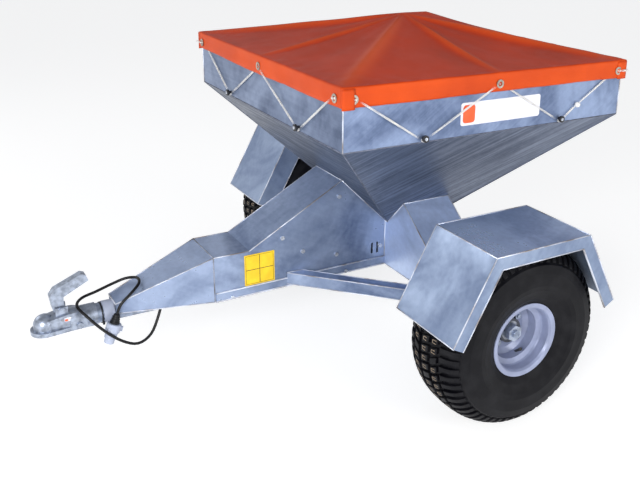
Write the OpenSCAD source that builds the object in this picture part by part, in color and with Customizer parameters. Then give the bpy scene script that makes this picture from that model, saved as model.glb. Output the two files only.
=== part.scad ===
// Two-wheel towed spreader: a square hopper with a laced cover on a folded
// drawbar and leg box, with a spinner under the hopper and a ball coupling.

/* [Hopper] */
// Width of the hopper across its mouth
hopper_width = 1000; // [820:10:1240]
// Length of the hopper along its mouth
hopper_length = 1000; // [820:10:1240]
// How far the middle of the hopper sits behind the axle
hopper_offset = 15; // [0:5:40]
// Height of the hopper's mouth above the ground
hopper_top = 1026; // [980:2:1240]
// Height of the upright band under the mouth
skirt_height = 170; // [140:5:200]
// Side of the square floor that the 45 degree walls run down to
floor_size = 200; // [190:5:240]
// Height of the sloping funnel, from its floor up to the skirt
funnel_drop = 400; // [340:5:400]
// Thickness of the folded sheet steel
sheet = 3; // [2:0.5:4]
// Width of the lip folded inwards round the mouth
mouth_lip = 22; // [15:1:30]

/* [Cover] */
// Height of the cover's peak above the hopper's mouth
tent_height = 110; // [60:5:150]
// Depth of the hem that hangs round the mouth
hem_drop = 50; // [40:2:70]
// Thickness of the cover cloth and its hem
cloth = 3; // [2:0.5:4]
// Diameter of the lacing cord
lace_diameter = 6; // [4:0.5:8]
// Distance of each lacing hook from the middle of its side
hook_spread = 250; // [200:5:300]
// Distance of each end eyelet from the middle of its side
eyelet_spread = 475; // [440:5:485]
// Height of the lacing hooks above the foot of the upright band
hook_height = 12; // [10:1:40]

/* [Wheels] */
// Radius of the tyre at the middle of its tread
tyre_radius = 288; // [260:2:290]
// Half of the tyre's width across its sides
tyre_half_width = 124; // [110:1:124]
// Distance from the middle of the machine to the middle of each wheel
half_track = 622; // [622:1:680]
// Radius of the rim's outer flange
rim_radius = 115; // [112:1:120]
// Half of the rim's width
rim_half_width = 100; // [92:1:102]
// Radius of the circle that the wheel studs stand on
stud_circle = 50; // [48:1:52]
// Radius of the wheel spindle
spindle_radius = 17.5; // [15:0.5:20]
// Running clearance round every turning shaft
running_gap = 0.05; // [0.02:0.01:0.1]

/* [Mudguards] */
// Distance of each mudguard's inner edge from the middle of the machine
guard_inner = 494; // [494:1:540]
// Distance of each mudguard's outer edge from the middle of the machine
guard_outer = 769; // [760:1:820]
// Half of the length of the level top panel
guard_half_top = 170; // [150:5:190]
// Height of the top panel above the axle
guard_rise = 312; // [312:1:330]
// How far the end panels reach ahead of and behind the axle
guard_reach = 298; // [296:1:320]
// Height of the foot of the end panels above the axle
guard_foot = 78; // [60:2:100]
// Depth of the lip along the outer edge
guard_lip = 38; // [25:1:45]
// Depth of the web along the inner edge
guard_web = 75; // [50:1:75]

/* [Drawbar] */
// Half of the drawbar box's width
drawbar_half = 88; // [80:1:96]
// Height of the drawbar box's underside above the ground
drawbar_bottom = 303; // [290:1:320]
// Height of the level front part of the drawbar box
drawbar_depth = 145; // [120:5:170]
// Distance from the axle to the front of the drawbar box
drawbar_front = 694; // [620:2:720]
// Distance from the axle to the knee where the top plate starts to rise
drawbar_knee = 578; // [520:2:600]
// Distance from the axle to the line where the top plate meets the hopper
drawbar_meet = 256; // [220:2:300]
// Distance from the axle to the front of the tapered nose
nose_front = 976; // [960:2:1000]
// Half width of the nose at its front
nose_half = 39; // [37:1:50]
// Height of the nose's top edge at its front
nose_top = 344; // [344:1:370]
// Height of the nose's lower edge at its front
nose_bottom = 314; // [305:1:330]

/* [Coupling] */
// Distance from the axle to the middle of the hitch ball
ball_reach = 1165; // [1130:1:1180]
// Height of the hitch ball's middle above the ground
ball_height = 311; // [300:1:330]
// Radius of the hitch ball that the socket takes
ball_radius = 25; // [23:0.5:25]
// Clearance between the ball and its socket
ball_gap = 0.5; // [0.2:0.1:1]
// Radius of the tow tube
tube_radius = 30; // [28:0.5:30]
// Height of the tow tube's axis above the ground
tube_height = 310; // [305:1:315]

/* [Legs] */
// Half of the leg box's length between its front and rear walls
leg_half = 88; // [80:1:100]
// Rise from the hopper's floor to the line where the leg roof meets the wall
leg_rise = 98; // [80:2:120]
// Height of the leg roof's outer end above the axle
leg_end_rise = 54; // [44:1:70]
// Side of the square axle bar
axle_bar = 45; // [40:1:50]
// Side of the square brace tube
brace_size = 38; // [30:1:40]
// Distance ahead of the axle where each brace leaves the drawbar
brace_front = 430; // [400:5:500]

/* [Spinner] */
// Radius of the spinner disc
disc_radius = 150; // [120:5:150]
// Height of the spinner disc above the ground
disc_height = 285; // [280:1:290]
// Distance from the axle back to the spinner shaft
spinner_offset = 70; // [66:1:72]
// Radius of the spinner shaft
spinner_shaft = 10; // [8:0.5:12]
// Number of vanes on the spinner disc
vane_count = 4; // [2:1:6]
// Travel of the metering gate
gate_travel = 110; // [80:5:110]

/* [Hidden] */
$fn = 64;
hair = 0.01;

// Heights and half sizes of the hopper
half_w = hopper_width / 2;
half_l = hopper_length / 2;
skirt_foot = hopper_top - skirt_height;
floor_height = skirt_foot - funnel_drop;
floor_half_l = floor_size / 2;
// Rise of the funnel's side and end walls for each millimetre outward
side_slope = funnel_drop / (half_w - floor_size / 2);
end_slope = funnel_drop / (half_l - floor_half_l);
hook_out = 18;
hem_gap = lace_diameter + 2;
hem_outer = hem_gap + cloth;
eyelet_height = hopper_top - 28;
hook_level = skirt_foot + hook_height;

// The middle of the whole length is the origin, so the axle sits behind it
coupling_rim = 40;
front_reach = ball_reach + coupling_rim;
rear_reach = hopper_offset + half_l + hook_out;
axle_y = (front_reach - rear_reach) / 2;
axle_height = tyre_radius;

steel = [0.66, 0.70, 0.76];
zinc = [0.78, 0.79, 0.80];
dark = [0.12, 0.12, 0.13];

// Puts children, drawn around the axle, in the machine's frame
module at_axle() { translate([0, axle_y, 0]) children(); }
module right_side() { mirror([1, 0, 0]) children(); }
module both_sides() { children(); mirror([1, 0, 0]) children(); }
// Cylinder along X from x1 to x2 at (y, z)
module bar_x(x1, x2, y, z, r) {
    translate([x1, y, z]) rotate([0, 90, 0]) cylinder(h = x2 - x1, r = r);
}
// Cylinder along Y from y1 to y2 at (x, z)
module bar_y(y1, y2, x, z, r) {
    translate([x, y1, z]) rotate([-90, 0, 0]) cylinder(h = y2 - y1, r = r);
}
// Block from its lowest corner to its highest corner
module block(low, high) { translate(low) cube(high - low); }
// Plate in the YZ plane from x1 to x2
module plate_x(x1, x2, points) {
    translate([x1, 0, 0]) rotate([90, 0, 90]) linear_extrude(x2 - x1) polygon(points);
}
// Plate in the XZ plane from y1 to y2
module plate_y(y1, y2, points) {
    translate([0, y2, 0]) rotate([90, 0, 0]) linear_extrude(y2 - y1) polygon(points);
}
// Rectangular frustum: half sizes (w1, l1) at z1 and (w2, l2) at z2
module frustum(w1, l1, z1, w2, l2, z2, back) {
    corner = [[-1, -1], [1, -1], [1, 1], [-1, 1]];
    polyhedron(
        [for (c = corner) [c[0] * w1, back + c[1] * l1, z1],
         for (c = corner) [c[0] * w2, back + c[1] * l2, z2]],
        [[0, 1, 2, 3], [7, 6, 5, 4],
         for (i = [0:3]) [i, i + 4, (i + 1) % 4 + 4, (i + 1) % 4]]);
}
// Everything inside the hopper's outer skin, up to its mouth
module hopper_solid() {
    frustum(floor_size / 2, floor_half_l, floor_height, half_w, half_l, skirt_foot, hopper_offset);
    block([-half_w, hopper_offset - half_l, skirt_foot],
        [half_w, hopper_offset + half_l, hopper_top]);
}

// Tube of round section swept along a list of points
function unit(v) = v / norm(v);
function heading(p, i) = unit(p[min(i + 1, len(p) - 1)] - p[max(i - 1, 0)]);
function level_side(t) = unit(cross(t, abs(t[2]) > 0.9 ? [1, 0, 0] : [0, 0, 1]));
function carried(n, t) = unit(n - t * (n * t));
function side_at(p, i) = i == 0 ? level_side(heading(p, 0)) : carried(side_at(p, i - 1), heading(p, i));
function sides_of(p, i = 0, last = undef) = i == len(p) ? [] :
    let (s = i == 0 ? level_side(heading(p, 0)) : carried(last, heading(p, i)))
    concat([s], sides_of(p, i + 1, s));
module swept_tube(p, r, sides) {
    around = sides_of(p);
    rings = [for (i = [0:len(p) - 1], k = [0:sides - 1])
        let (t = heading(p, i), a = around[i], b = cross(t, a), w = 360 * k / sides)
        p[i] + r * (cos(w) * a + sin(w) * b)];
    polyhedron(rings, [
        [for (k = [0:sides - 1]) k],
        [for (k = [sides - 1:-1:0]) (len(p) - 1) * sides + k],
        for (i = [0:len(p) - 2], k = [0:sides - 1])
            [i * sides + k, (i + 1) * sides + k,
             (i + 1) * sides + (k + 1) % sides, i * sides + (k + 1) % sides]]);
}

// ---- hopper and cover ----

// Pouring window in the floor, ahead of the spinner shaft
window_half = 55;
window_front = -60;
window_rear = 25;
bush_radius = 15;

module hopper() {
    inner = sheet * tan(22.5);
    color(steel) at_axle() difference() {
        union() {
            hopper_solid();
        }
        frustum(floor_size / 2 - inner, floor_half_l - inner, floor_height + sheet,
            half_w - sheet, half_l - sheet, skirt_foot + inner, hopper_offset);
        block([-half_w + sheet, hopper_offset - half_l + sheet, skirt_foot + inner - hair],
            [half_w - sheet, hopper_offset + half_l - sheet, hopper_top - sheet]);
        block([-half_w + mouth_lip, hopper_offset - half_l + mouth_lip, hopper_top - 2 * sheet],
            [half_w - mouth_lip, hopper_offset + half_l - mouth_lip, hopper_top + sheet]);
        block([-window_half, window_front, floor_height - sheet],
            [window_half, window_rear, floor_height + 2 * sheet]);
        translate([0, spinner_offset, floor_height - sheet])
            cylinder(h = 3 * sheet, r = bush_radius);
    }
}

module cover() {
    outer_w = half_w + hem_outer;
    outer_l = half_l + hem_outer;
    rim = 1;
    top = hopper_top + rim + cloth;
    color([0.85, 0.27, 0.07]) at_axle() difference() {
        union() {
            block([-outer_w, hopper_offset - outer_l, hopper_top - hem_drop],
                [outer_w, hopper_offset + outer_l, top]);
            frustum(outer_w, outer_l, top, 12, 12, hopper_top + tent_height, hopper_offset);
        }
        block([-outer_w + cloth, hopper_offset - outer_l + cloth, hopper_top - hem_drop - sheet],
            [outer_w - cloth, hopper_offset + outer_l - cloth, top - cloth + hair]);
        frustum(outer_w - cloth, outer_l - cloth, top - cloth,
            12, 12, hopper_top + tent_height - 2 * cloth, hopper_offset);
        for (k = [0:3], s = [-eyelet_spread, 0, eyelet_spread])
            on_side(k, s, eyelet_height) translate([0, 0, hem_gap - 1])
                cylinder(h = cloth + 2, r = eyelet_hole);
    }
}

eyelet_hole = 6.5;
// Carries a child, drawn pointing out along +Z, to a place on side k of the
// skirt: 0 left, 1 front, 2 right, 3 rear; s runs along the side
module on_side(k, s, z) {
    half = k % 2 == 0 ? half_w : half_l;
    translate([0, hopper_offset, z]) rotate([0, 0, -90 * k])
        translate([half, -s, 0]) rotate([0, 90, 0]) children();
}
// The same place as a point, with d the distance out from the skirt
function side_point(k, q) =
    let (s = q[0], d = q[1], z = q[2], w = half_w + d, l = half_l + d)
    k == 0 ? [w, hopper_offset - s, z] :
    k == 1 ? [-s, hopper_offset - l, z] :
    k == 2 ? [-w, hopper_offset + s, z] : [s, hopper_offset + l, z];

bow_radius = 8;
// Bowed tubes that hold the cover up, from each mouth corner to the peak
module cover_frame() {
    foot_z = hopper_top - sheet;
    peak_z = hopper_top + tent_height - 26;
    corner = mouth_lip + 14;
    color(zinc) at_axle() {
        for (x = [-1, 1], y = [-1, 1]) {
            foot = [x * (half_w - corner), hopper_offset + y * (half_l - corner), foot_z - 7];
            peak = [x * 20, hopper_offset + y * 20, peak_z];
            swept_tube([foot, (foot + peak) / 2, peak], bow_radius, 10);
            translate([x * (half_w - sheet - 24), hopper_offset + y * (half_l - sheet - 24), foot_z - 7])
                cube([48, 48, 14], center = true);
        }
        translate([0, hopper_offset, peak_z - 10]) cylinder(h = 20, r = 30);
    }
}

module cover_eyelets() {
    color([0.80, 0.72, 0.50]) at_axle()
        for (k = [0:3], s = [-eyelet_spread, 0, eyelet_spread])
            on_side(k, s, eyelet_height) translate([0, 0, hem_outer]) difference() {
                cylinder(h = 2, r = eyelet_hole + 6);
                translate([0, 0, -1]) cylinder(h = 4, r = eyelet_hole);
            }
}

// The lacing cord's stations along one side, as [along, out, height]: it runs
// behind the hem or over it, and changes side through the eyelets
lace_in = hem_gap / 2;
lace_out = hem_outer + 2 + lace_diameter / 2;
lace_neck = lace_diameter / 2 + 2;
function round_hook(s) = [for (w = [200, 235, 270, 305, 340])
    [s + 9 * cos(w), lace_neck, hook_level + 9 * sin(w)]];
function going_in(s) = [[s - 7, lace_out, eyelet_height], [s - 2, hem_gap + 5, eyelet_height],
    [s + 2, hem_gap - 1, eyelet_height], [s + 7, lace_in, eyelet_height]];
function going_out(s) = [[s - 7, lace_in, eyelet_height], [s - 2, hem_gap - 1, eyelet_height],
    [s + 2, hem_gap + 5, eyelet_height], [s + 7, lace_out, eyelet_height]];
function corner_at(d, past, turn) = [[turn * (half_w + past), d, eyelet_height]];
function placed(k, stations) = [for (q = stations) side_point(k, q)];
// Behind the hem to the first hook, out through the middle eyelet to the second
function weave_a(k) = placed(k, concat(round_hook(-hook_spread), going_out(0),
    round_hook(hook_spread), going_in(eyelet_spread), corner_at(lace_in, 2, 1)));
// Over the hem to the first hook, in through the middle eyelet to the second
function weave_b(k) = placed(k, concat(corner_at(lace_in, 2, -1), going_out(-eyelet_spread),
    round_hook(-hook_spread), going_in(0), round_hook(hook_spread),
    going_out(eyelet_spread), corner_at(lace_out, hem_outer + 2, 1)));
function weave_start(k) = placed(k, concat(corner_at(lace_out, hem_outer + 2, -1),
    going_in(-eyelet_spread)));
knot = [-hook_spread - 65, lace_neck, hook_level + 38];
lace_route = concat(placed(0, [knot + [7, 0, -4]]), weave_a(0), weave_b(1),
    weave_start(2), weave_a(2), weave_b(3),
    weave_start(0), placed(0, [knot + [-7, 0, 4]]));

module lacing_cord() {
    color("white") at_axle() {
        swept_tube(lace_route, lace_diameter / 2, 8);
        translate(side_point(0, knot + [0, 4, 0])) sphere(r = 8.5);
    }
}

// Black cap on a neck: the lacing cord is caught behind the cap
module lacing_hooks() {
    color(dark) at_axle()
        for (k = [0:3], s = [-hook_spread, hook_spread])
            on_side(k, s, hook_level) difference() {
                union() {
                    cylinder(h = 10, r = 5);
                    translate([0, 0, 10]) cylinder(h = 6, r = 10);
                }
                translate([0, 0, -1]) cylinder(h = 20, r = 2.5);
            }
}

module hook_bolts() {
    color(zinc) at_axle()
        for (k = [0:3], s = [-hook_spread, hook_spread])
            on_side(k, s, hook_level) {
                cylinder(h = 16, r = 2.5);
                translate([0, 0, 16]) cylinder(h = 2, r = 5, $fn = 6);
            }
}

// Outline of a flat plate with rounded corners, lowest corner at the origin
module rounded_plate(w, h, r, t) {
    linear_extrude(t) union() {
        translate([r, 0]) square([w - 2 * r, h]);
        translate([0, r]) square([w, h - 2 * r]);
        for (x = [r, w - r], y = [r, h - r]) translate([x, y]) circle(r);
    }
}

plate_length = 292;
plate_tall = 66;
// Blank plate on the left of the skirt
module side_plate() {
    color("white") at_axle()
        translate([half_w, hopper_offset - 125, skirt_foot + 30]) rotate([90, 0, 90])
            rounded_plate(plate_length, plate_tall, 8, 1);
}

label_size = 100;
// Blank yellow plate on the left of the drawbar
module drawbar_plate() {
    color([0.96, 0.80, 0.05]) at_axle()
        translate([drawbar_half, -drawbar_knee - 18, drawbar_bottom + 30]) rotate([90, 0, 90])
            rounded_plate(label_size, label_size + 2, 1.5, 1);
}

// ---- drawbar ----

tube_inside = 40;

drawbar_top = drawbar_bottom + drawbar_depth;
meet_height = floor_height + (drawbar_meet + hopper_offset - floor_half_l) * end_slope;
function drawbar_outline(t) = [
    [-drawbar_front - (t > 0 ? 1 : 0), drawbar_bottom - (t > 0 ? 1 : 0)],
    [-drawbar_front - (t > 0 ? 1 : 0), drawbar_top - t],
    [-drawbar_knee + t * tan(rise_angle / 2), drawbar_top - t],
    [-drawbar_meet + t / sin(rise_angle), meet_height],
    [-leg_half + (t > 0 ? 60 : 0), meet_height],
    [-leg_half + (t > 0 ? 60 : 0), drawbar_bottom - (t > 0 ? 1 : 0)]];
rise_angle = atan2(meet_height - drawbar_top, drawbar_knee - drawbar_meet);

slot_places = [-142, -121];
slot_foot = drawbar_bottom + 45;
module drawbar() {
    color(steel) at_axle() difference() {
        union() {
            difference() {
                plate_x(-drawbar_half, drawbar_half, drawbar_outline(0));
                plate_x(-drawbar_half + sheet, drawbar_half - sheet, drawbar_outline(sheet));
            }
            // bulkhead that the tow tube ends in
            block([-drawbar_half + sheet, -drawbar_front, drawbar_bottom],
                [drawbar_half - sheet, -drawbar_front + sheet, drawbar_top - sheet]);
        }
        hopper_solid();
        bar_y(-drawbar_front - 1, -drawbar_front + sheet + 1, 0, tube_height, tube_radius);
        for (y = slot_places) block([-drawbar_half - 1, y, slot_foot], [drawbar_half + 1, y + 8, slot_foot + 39]);
    }
}

module drawbar_nose() {
    slant = sheet * 1.02;
    color(steel) at_axle() difference() {
        nose_solid(0);
        nose_solid(slant);
    }
}
// The nose's outer skin at t = 0; with t its inside, open below and at both ends
module nose_solid(t) {
    over = t > 0 ? 1 : 0;
    w1 = drawbar_half - t;
    w2 = nose_half - t;
    low = over * 40;
    y1 = -drawbar_front + over;
    y2 = -nose_front - over;
    points = [
        [-w1, y1, drawbar_bottom - low], [w1, y1, drawbar_bottom - low],
        [w1, y1, drawbar_top - t], [-w1, y1, drawbar_top - t],
        [-w2, y2, nose_bottom - low], [w2, y2, nose_bottom - low],
        [w2, y2, nose_top - t], [-w2, y2, nose_top - t]];
    polyhedron(points, [[0, 1, 2, 3], [7, 6, 5, 4], [4, 5, 1, 0],
        [5, 6, 2, 1], [6, 7, 3, 2], [7, 4, 0, 3]]);
}

tray_side = 27;
// Tray that closes the drawbar from below, with sides folded up outside it
module belly_tray() {
    w = drawbar_half + sheet;
    z = drawbar_bottom - sheet;
    color(steel) at_axle() difference() {
        block([-w, -drawbar_front + 4, z], [w, -leg_half, drawbar_bottom + tray_side]);
        block([-drawbar_half, -drawbar_front + 3, drawbar_bottom],
            [drawbar_half, -leg_half + 1, drawbar_bottom + tray_side + 1]);
        bar_y(-drawbar_front, -drawbar_front + tube_inside, 0, tube_height, tube_radius);
        both_sides() translate([w, 0, z]) rotate([0, 45, 0])
            cube([5, 4 * drawbar_front, 5], center = true);
    }
}

// Bolt heads on the drawbar's sides, as distances ahead of the axle and heights
side_bolts = [[468, 470], [398, 411], [276, 375], [266, 574], [106, 372]];
tray_bolts = [[640, 308], [241, 308]];
module drawbar_bolts() {
    color(zinc) at_axle() both_sides() {
        for (b = side_bolts) bar_x(drawbar_half, drawbar_half + 5, -b[0], b[1], 7);
        for (b = side_bolts) bar_x(drawbar_half - sheet - 6, drawbar_half - sheet, -b[0], b[1], 7);
        for (b = tray_bolts) bar_x(drawbar_half + sheet, drawbar_half + sheet + 5, -b[0], b[1], 6);
    }
}

// ---- coupling ----

sleeve_rear = 1026;
sleeve_front = 1102;
sleeve_wall = 4;
tube_end = 1092;
module tow_tube() {
    color(zinc) at_axle() difference() {
        bar_y(-tube_end, -drawbar_front + tube_inside, 0, tube_height, tube_radius);
        bar_y(-tube_end - 1, -drawbar_front + tube_inside + 1, 0, tube_height, tube_radius - 5);
        for (y = bolt_places) bar_x(-tube_radius - 1, tube_radius + 1, -y, tube_height - 8, bolt_radius);
    }
}

module tube_collar() {
    color([0.80, 0.81, 0.84]) at_axle() difference() {
        bar_y(-nose_front - 32, -nose_front - 1, 0, tube_height, tube_radius + 3);
        bar_y(-nose_front - 33, -nose_front, 0, tube_height, tube_radius);
    }
}

bolt_places = [1045, 1077];
bolt_radius = 6;
neck_top = 340;
rim_foot = 288;
lever_y = ball_reach - 45;
lever_z = neck_top + 12;
lever_pin_radius = 5;
jaw_y = ball_reach - 43;
jaw_z = ball_height + 15;
jaw_pin_radius = 4;
socket_radius = ball_radius + ball_gap;

module coupling_head() {
    color([0.74, 0.75, 0.76]) at_axle() difference() {
        union() {
            translate([0, -ball_reach, ball_height]) sphere(r = socket_radius + 6);
            translate([0, -ball_reach, rim_foot]) cylinder(h = ball_height - rim_foot, r = socket_radius + 6);
            // rolled rim round the foot of the socket
            translate([0, -ball_reach, rim_foot]) cylinder(h = 12, r = coupling_rim);
            plate_z(rim_foot, rim_foot + 12, [[-coupling_rim, -ball_reach], [-33, -sleeve_front],
                [-31, -1060], [31, -1060], [33, -sleeve_front], [coupling_rim, -ball_reach]]);
            // neck between the socket and the sleeve
            hull() {
                translate([0, -ball_reach + 12, rim_foot]) cylinder(h = 42, r = 28, $fn = 32);
                translate([0, -sleeve_front + 6, rim_foot]) cylinder(h = neck_top - rim_foot, r = 30, $fn = 32);
            }
            bar_y(-sleeve_front, -sleeve_rear, 0, tube_height, tube_radius + sleeve_wall);
            // ears that carry the lever
            for (x = [-21, 15]) block([x, -lever_y - 17, neck_top - 10], [x + 6, -lever_y + 17, lever_z + 9]);
        }
        translate([0, -ball_reach, rim_foot - 1]) cylinder(h = ball_height - rim_foot + 1, r = socket_radius);
        translate([0, -ball_reach, ball_height]) sphere(r = socket_radius);
        // room for the jaw, open below
        block([-9, -jaw_y - 24, rim_foot - 1], [9, -jaw_y + 13, jaw_z + 8.5]);
        bar_y(-tube_end, -sleeve_rear + 1, 0, tube_height, tube_radius);
        bar_x(-30, 30, -lever_y, lever_z, lever_pin_radius);
        bar_x(-45, 45, -jaw_y, jaw_z, jaw_pin_radius);
        block([-50, -ball_reach - 50, rim_foot - 30], [50, -ball_reach + 45, rim_foot]);
        for (y = bolt_places) bar_x(-45, 45, -y, tube_height - 8, bolt_radius);
    }
}
// Plate in the XY plane from z1 to z2
module plate_z(z1, z2, points) {
    translate([0, 0, z1]) linear_extrude(z2 - z1) polygon(points);
}

module coupling_bolts() {
    face = tube_radius + sleeve_wall;
    color(zinc) at_axle() for (y = bolt_places) {
        bar_x(-face - 4, face + 6, -y, tube_height - 8, bolt_radius);
        translate([face, -y, tube_height - 8]) rotate([0, 90, 0]) cylinder(h = 7, r = 10, $fn = 6);
        translate([-face - 8, -y, tube_height - 8]) rotate([0, 90, 0]) cylinder(h = 8, r = 10, $fn = 6);
    }
}

// Side outline of the lever, from its pivot: lower arm, elbow, upper arm
lever_outline = [[-17, -6], [-22, 4], [-27, 44], [-13, 63], [63, 96], [75, 91], [81, 73],
    [10, 37], [9, 27], [9, -2], [4, -7]];
lever_web = [[-27, 44], [-13, 63], [63, 96], [64, 92], [-10, 60], [-23, 43]];
lever_shin = [[-22, 4], [-27, 44], [-23, 44], [-18, 5]];
lever_tip = [[63, 96], [75, 91], [81, 73], [77, 71], [72, 88], [63, 92]];
lever_half = 14;
module coupling_lever() {
    color([0.76, 0.77, 0.78]) at_axle() translate([0, -lever_y, lever_z]) difference() {
        union() {
            for (x = [-lever_half, lever_half - 3]) plate_x(x, x + 3, lever_outline);
            plate_x(-lever_half, lever_half, lever_web);
            plate_x(-lever_half, lever_half, lever_shin);
            plate_x(-lever_half, lever_half, lever_tip);
        }
        bar_x(-lever_half - 1, lever_half + 1, 0, 0, lever_pin_radius + running_gap);
    }
}

module lever_pin() {
    color(zinc) at_axle() {
        bar_x(-24, 24, -lever_y, lever_z, lever_pin_radius);
        both_sides() bar_x(21, 25, -lever_y, lever_z, lever_pin_radius + 4);
    }
}

// Jaw that swings in under the ball as the lever is pressed down
module ball_jaw() {
    color([0.55, 0.55, 0.57]) at_axle() difference() {
        union() {
            bar_x(-8, 8, -jaw_y, jaw_z, 7.5);
            plate_x(-8, 8, [[-jaw_y - 7.5, jaw_z], [-jaw_y - 13, jaw_z - 26], [-jaw_y - 8, jaw_z - 34],
                [-jaw_y, jaw_z - 32], [-jaw_y + 7.5, jaw_z]]);
        }
        translate([0, -ball_reach, rim_foot - 2]) cylinder(h = ball_height - rim_foot + 2, r = socket_radius + 1);
        translate([0, -ball_reach, ball_height]) sphere(r = socket_radius + 1);
        bar_x(-9, 9, -jaw_y, jaw_z, jaw_pin_radius + running_gap);
    }
}

module jaw_pin() {
    color(zinc) at_axle() bar_x(-31, 31, -jaw_y, jaw_z, jaw_pin_radius);
}

// ---- legs and axles ----

leg_end = guard_inner - 16;
shoulder_x = floor_size / 2 + leg_rise / side_slope;
shoulder_z = floor_height + leg_rise;
leg_end_z = axle_height + leg_end_rise;
leg_foot = drawbar_bottom;
// Front view of the leg box; the hopper is cut out of it afterwards
leg_outline = [[-leg_end, leg_foot], [leg_end, leg_foot], [leg_end, leg_end_z],
    [shoulder_x, shoulder_z], [-shoulder_x, shoulder_z], [-leg_end, leg_end_z]];
roof_drop = sheet / cos(atan2(shoulder_z - leg_end_z, leg_end - shoulder_x));

module leg_box() {
    color(steel) at_axle() difference() {
        union() {
            plate_y(-leg_half, -leg_half + sheet, leg_outline);
            plate_y(leg_half - sheet, leg_half, leg_outline);
            both_sides() plate_y(-leg_half, leg_half, [[leg_end, leg_end_z - roof_drop],
                [leg_end, leg_end_z], [shoulder_x, shoulder_z], [shoulder_x - 20, shoulder_z],
                [shoulder_x - 20, shoulder_z - roof_drop], [shoulder_x, shoulder_z - roof_drop]]);
            both_sides() block([leg_end - sheet, -leg_half, leg_foot], [leg_end, leg_half, leg_end_z]);
        }
        hopper_solid();
        block([-leg_end - 1, -axle_bar / 2, leg_foot - 1],
            [leg_end + 1, axle_bar / 2, axle_height + axle_bar / 2]);
        // window in the rear wall for the spinner, the motor and the gate's arm
        block([-disc_radius - 20, leg_half - 10, leg_foot - 1], [disc_radius + 20, leg_half + 1, disc_height + 45]);
        block([-62, leg_half - 10, leg_foot], [62, leg_half + 1, floor_height - 26]);
        block([arm_x - 8, leg_half - 10, floor_height - 20],
            [arm_x + arm_width + gate_travel + 8, leg_half + 1, floor_height + 2 * sheet]);
        block([-bush_radius - 10, leg_half - 10, floor_height - 10],
            [bush_radius + 10, leg_half + 1, floor_height + 1]);
        // way through the front wall for the drawbar's inside
        block([-drawbar_half + 20, -leg_half - 1, leg_foot + 20],
            [drawbar_half - 20, -leg_half + 10, floor_height - 30]);
    }
}

gusset_places = [250, 440];
gusset = 8;
// Plates inside each leg that hold the square axle bar
module axle_gussets() {
    roof = leg_end_z + (shoulder_z - leg_end_z) * (leg_end - gusset_places[1] - gusset) / (leg_end - shoulder_x)
        - roof_drop;
    half = axle_bar / 2;
    color(steel) at_axle() both_sides() for (x = gusset_places) difference() {
        plate_x(x, x + gusset, [[-leg_half + sheet, leg_foot], [-half - 12, axle_height - half - 8],
            [half + 12, axle_height - half - 8], [leg_half - sheet, leg_foot],
            [leg_half - sheet, roof], [-leg_half + sheet, roof]]);
        block([x - 1, -half, axle_height - half], [x + gusset + 1, half, axle_height + half]);
    }
}

hub_inner = half_track - 60;
hub_outer = half_track + 33;
bearing_width = 17;
thread_radius = 12;
module stub_axle_left() {
    half = axle_bar / 2;
    shoulder = hub_outer - 2;
    color(zinc) at_axle() {
        block([gusset_places[0] - 10, -half, axle_height - half], [hub_inner - 6, half, axle_height + half]);
        bar_x(hub_inner - 6, hub_inner + 2, 0, axle_height, spindle_radius + 5);
        bar_x(hub_inner + 2, shoulder, 0, axle_height, spindle_radius);
        bar_x(shoulder, shoulder + 31, 0, axle_height, thread_radius);
    }
}
module stub_axle_right() { right_side() stub_axle_left(); }

// Square tube from the drawbar's side back to the axle bar
brace_rear = 464;
brace_top = 348;
brace_drop = 23;
module brace_left() {
    start = [drawbar_half, -brace_front, brace_top];
    finish = [brace_rear, -axle_bar / 2, brace_top - brace_drop];
    run = finish - start;
    yaw = atan2(run[1], run[0]);
    pitch = asin(run[2] / norm(run));
    color(steel) at_axle() intersection() {
        translate(start) rotate([0, -pitch, yaw]) translate([-brace_size, -brace_size / 2, -brace_size])
            difference() {
                cube([norm(run) + 2 * brace_size, brace_size, brace_size]);
                translate([-1, sheet, sheet])
                    cube([norm(run) + 2 * brace_size + 2, brace_size - 2 * sheet, brace_size - 2 * sheet]);
            }
        block([drawbar_half + sheet, -drawbar_front, 200], [guard_inner - 2, -leg_half, 500]);
    }
}
module brace_right() { right_side() brace_left(); }

// ---- mudguards ----

guard_angle = atan2(guard_rise - guard_foot, guard_reach - guard_half_top);
// The guard's side line, set in by t towards the axle
function guard_line(t) =
    let (foot_y = guard_reach - t * sin(guard_angle), foot_z = axle_height + guard_foot - t * cos(guard_angle),
         knee_y = guard_half_top - t * tan(guard_angle / 2), knee_z = axle_height + guard_rise - t)
    [[-foot_y, foot_z], [-knee_y, knee_z], [knee_y, knee_z], [foot_y, foot_z]];
function guard_band(t) = let (o = guard_line(0), i = guard_line(t))
    [o[0], o[1], o[2], o[3], i[3], i[2], i[1], i[0]];

module mudguard_left() {
    color(steel) at_axle() difference() {
        union() {
            plate_x(guard_inner, guard_outer, guard_band(sheet));
            plate_x(guard_inner, guard_inner + sheet, guard_band(guard_web));
            plate_x(guard_outer - sheet, guard_outer, guard_band(guard_lip));
        }
        for (y = stay_bolts) bar_x(guard_inner - 1, guard_inner + sheet + 1, y, stay_bolt_z, 5);
    }
}
module mudguard_right() { right_side() mudguard_left(); }

stay_bolts = [-45, 45];
stay_bolt_z = axle_height + guard_rise - 40;
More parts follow.
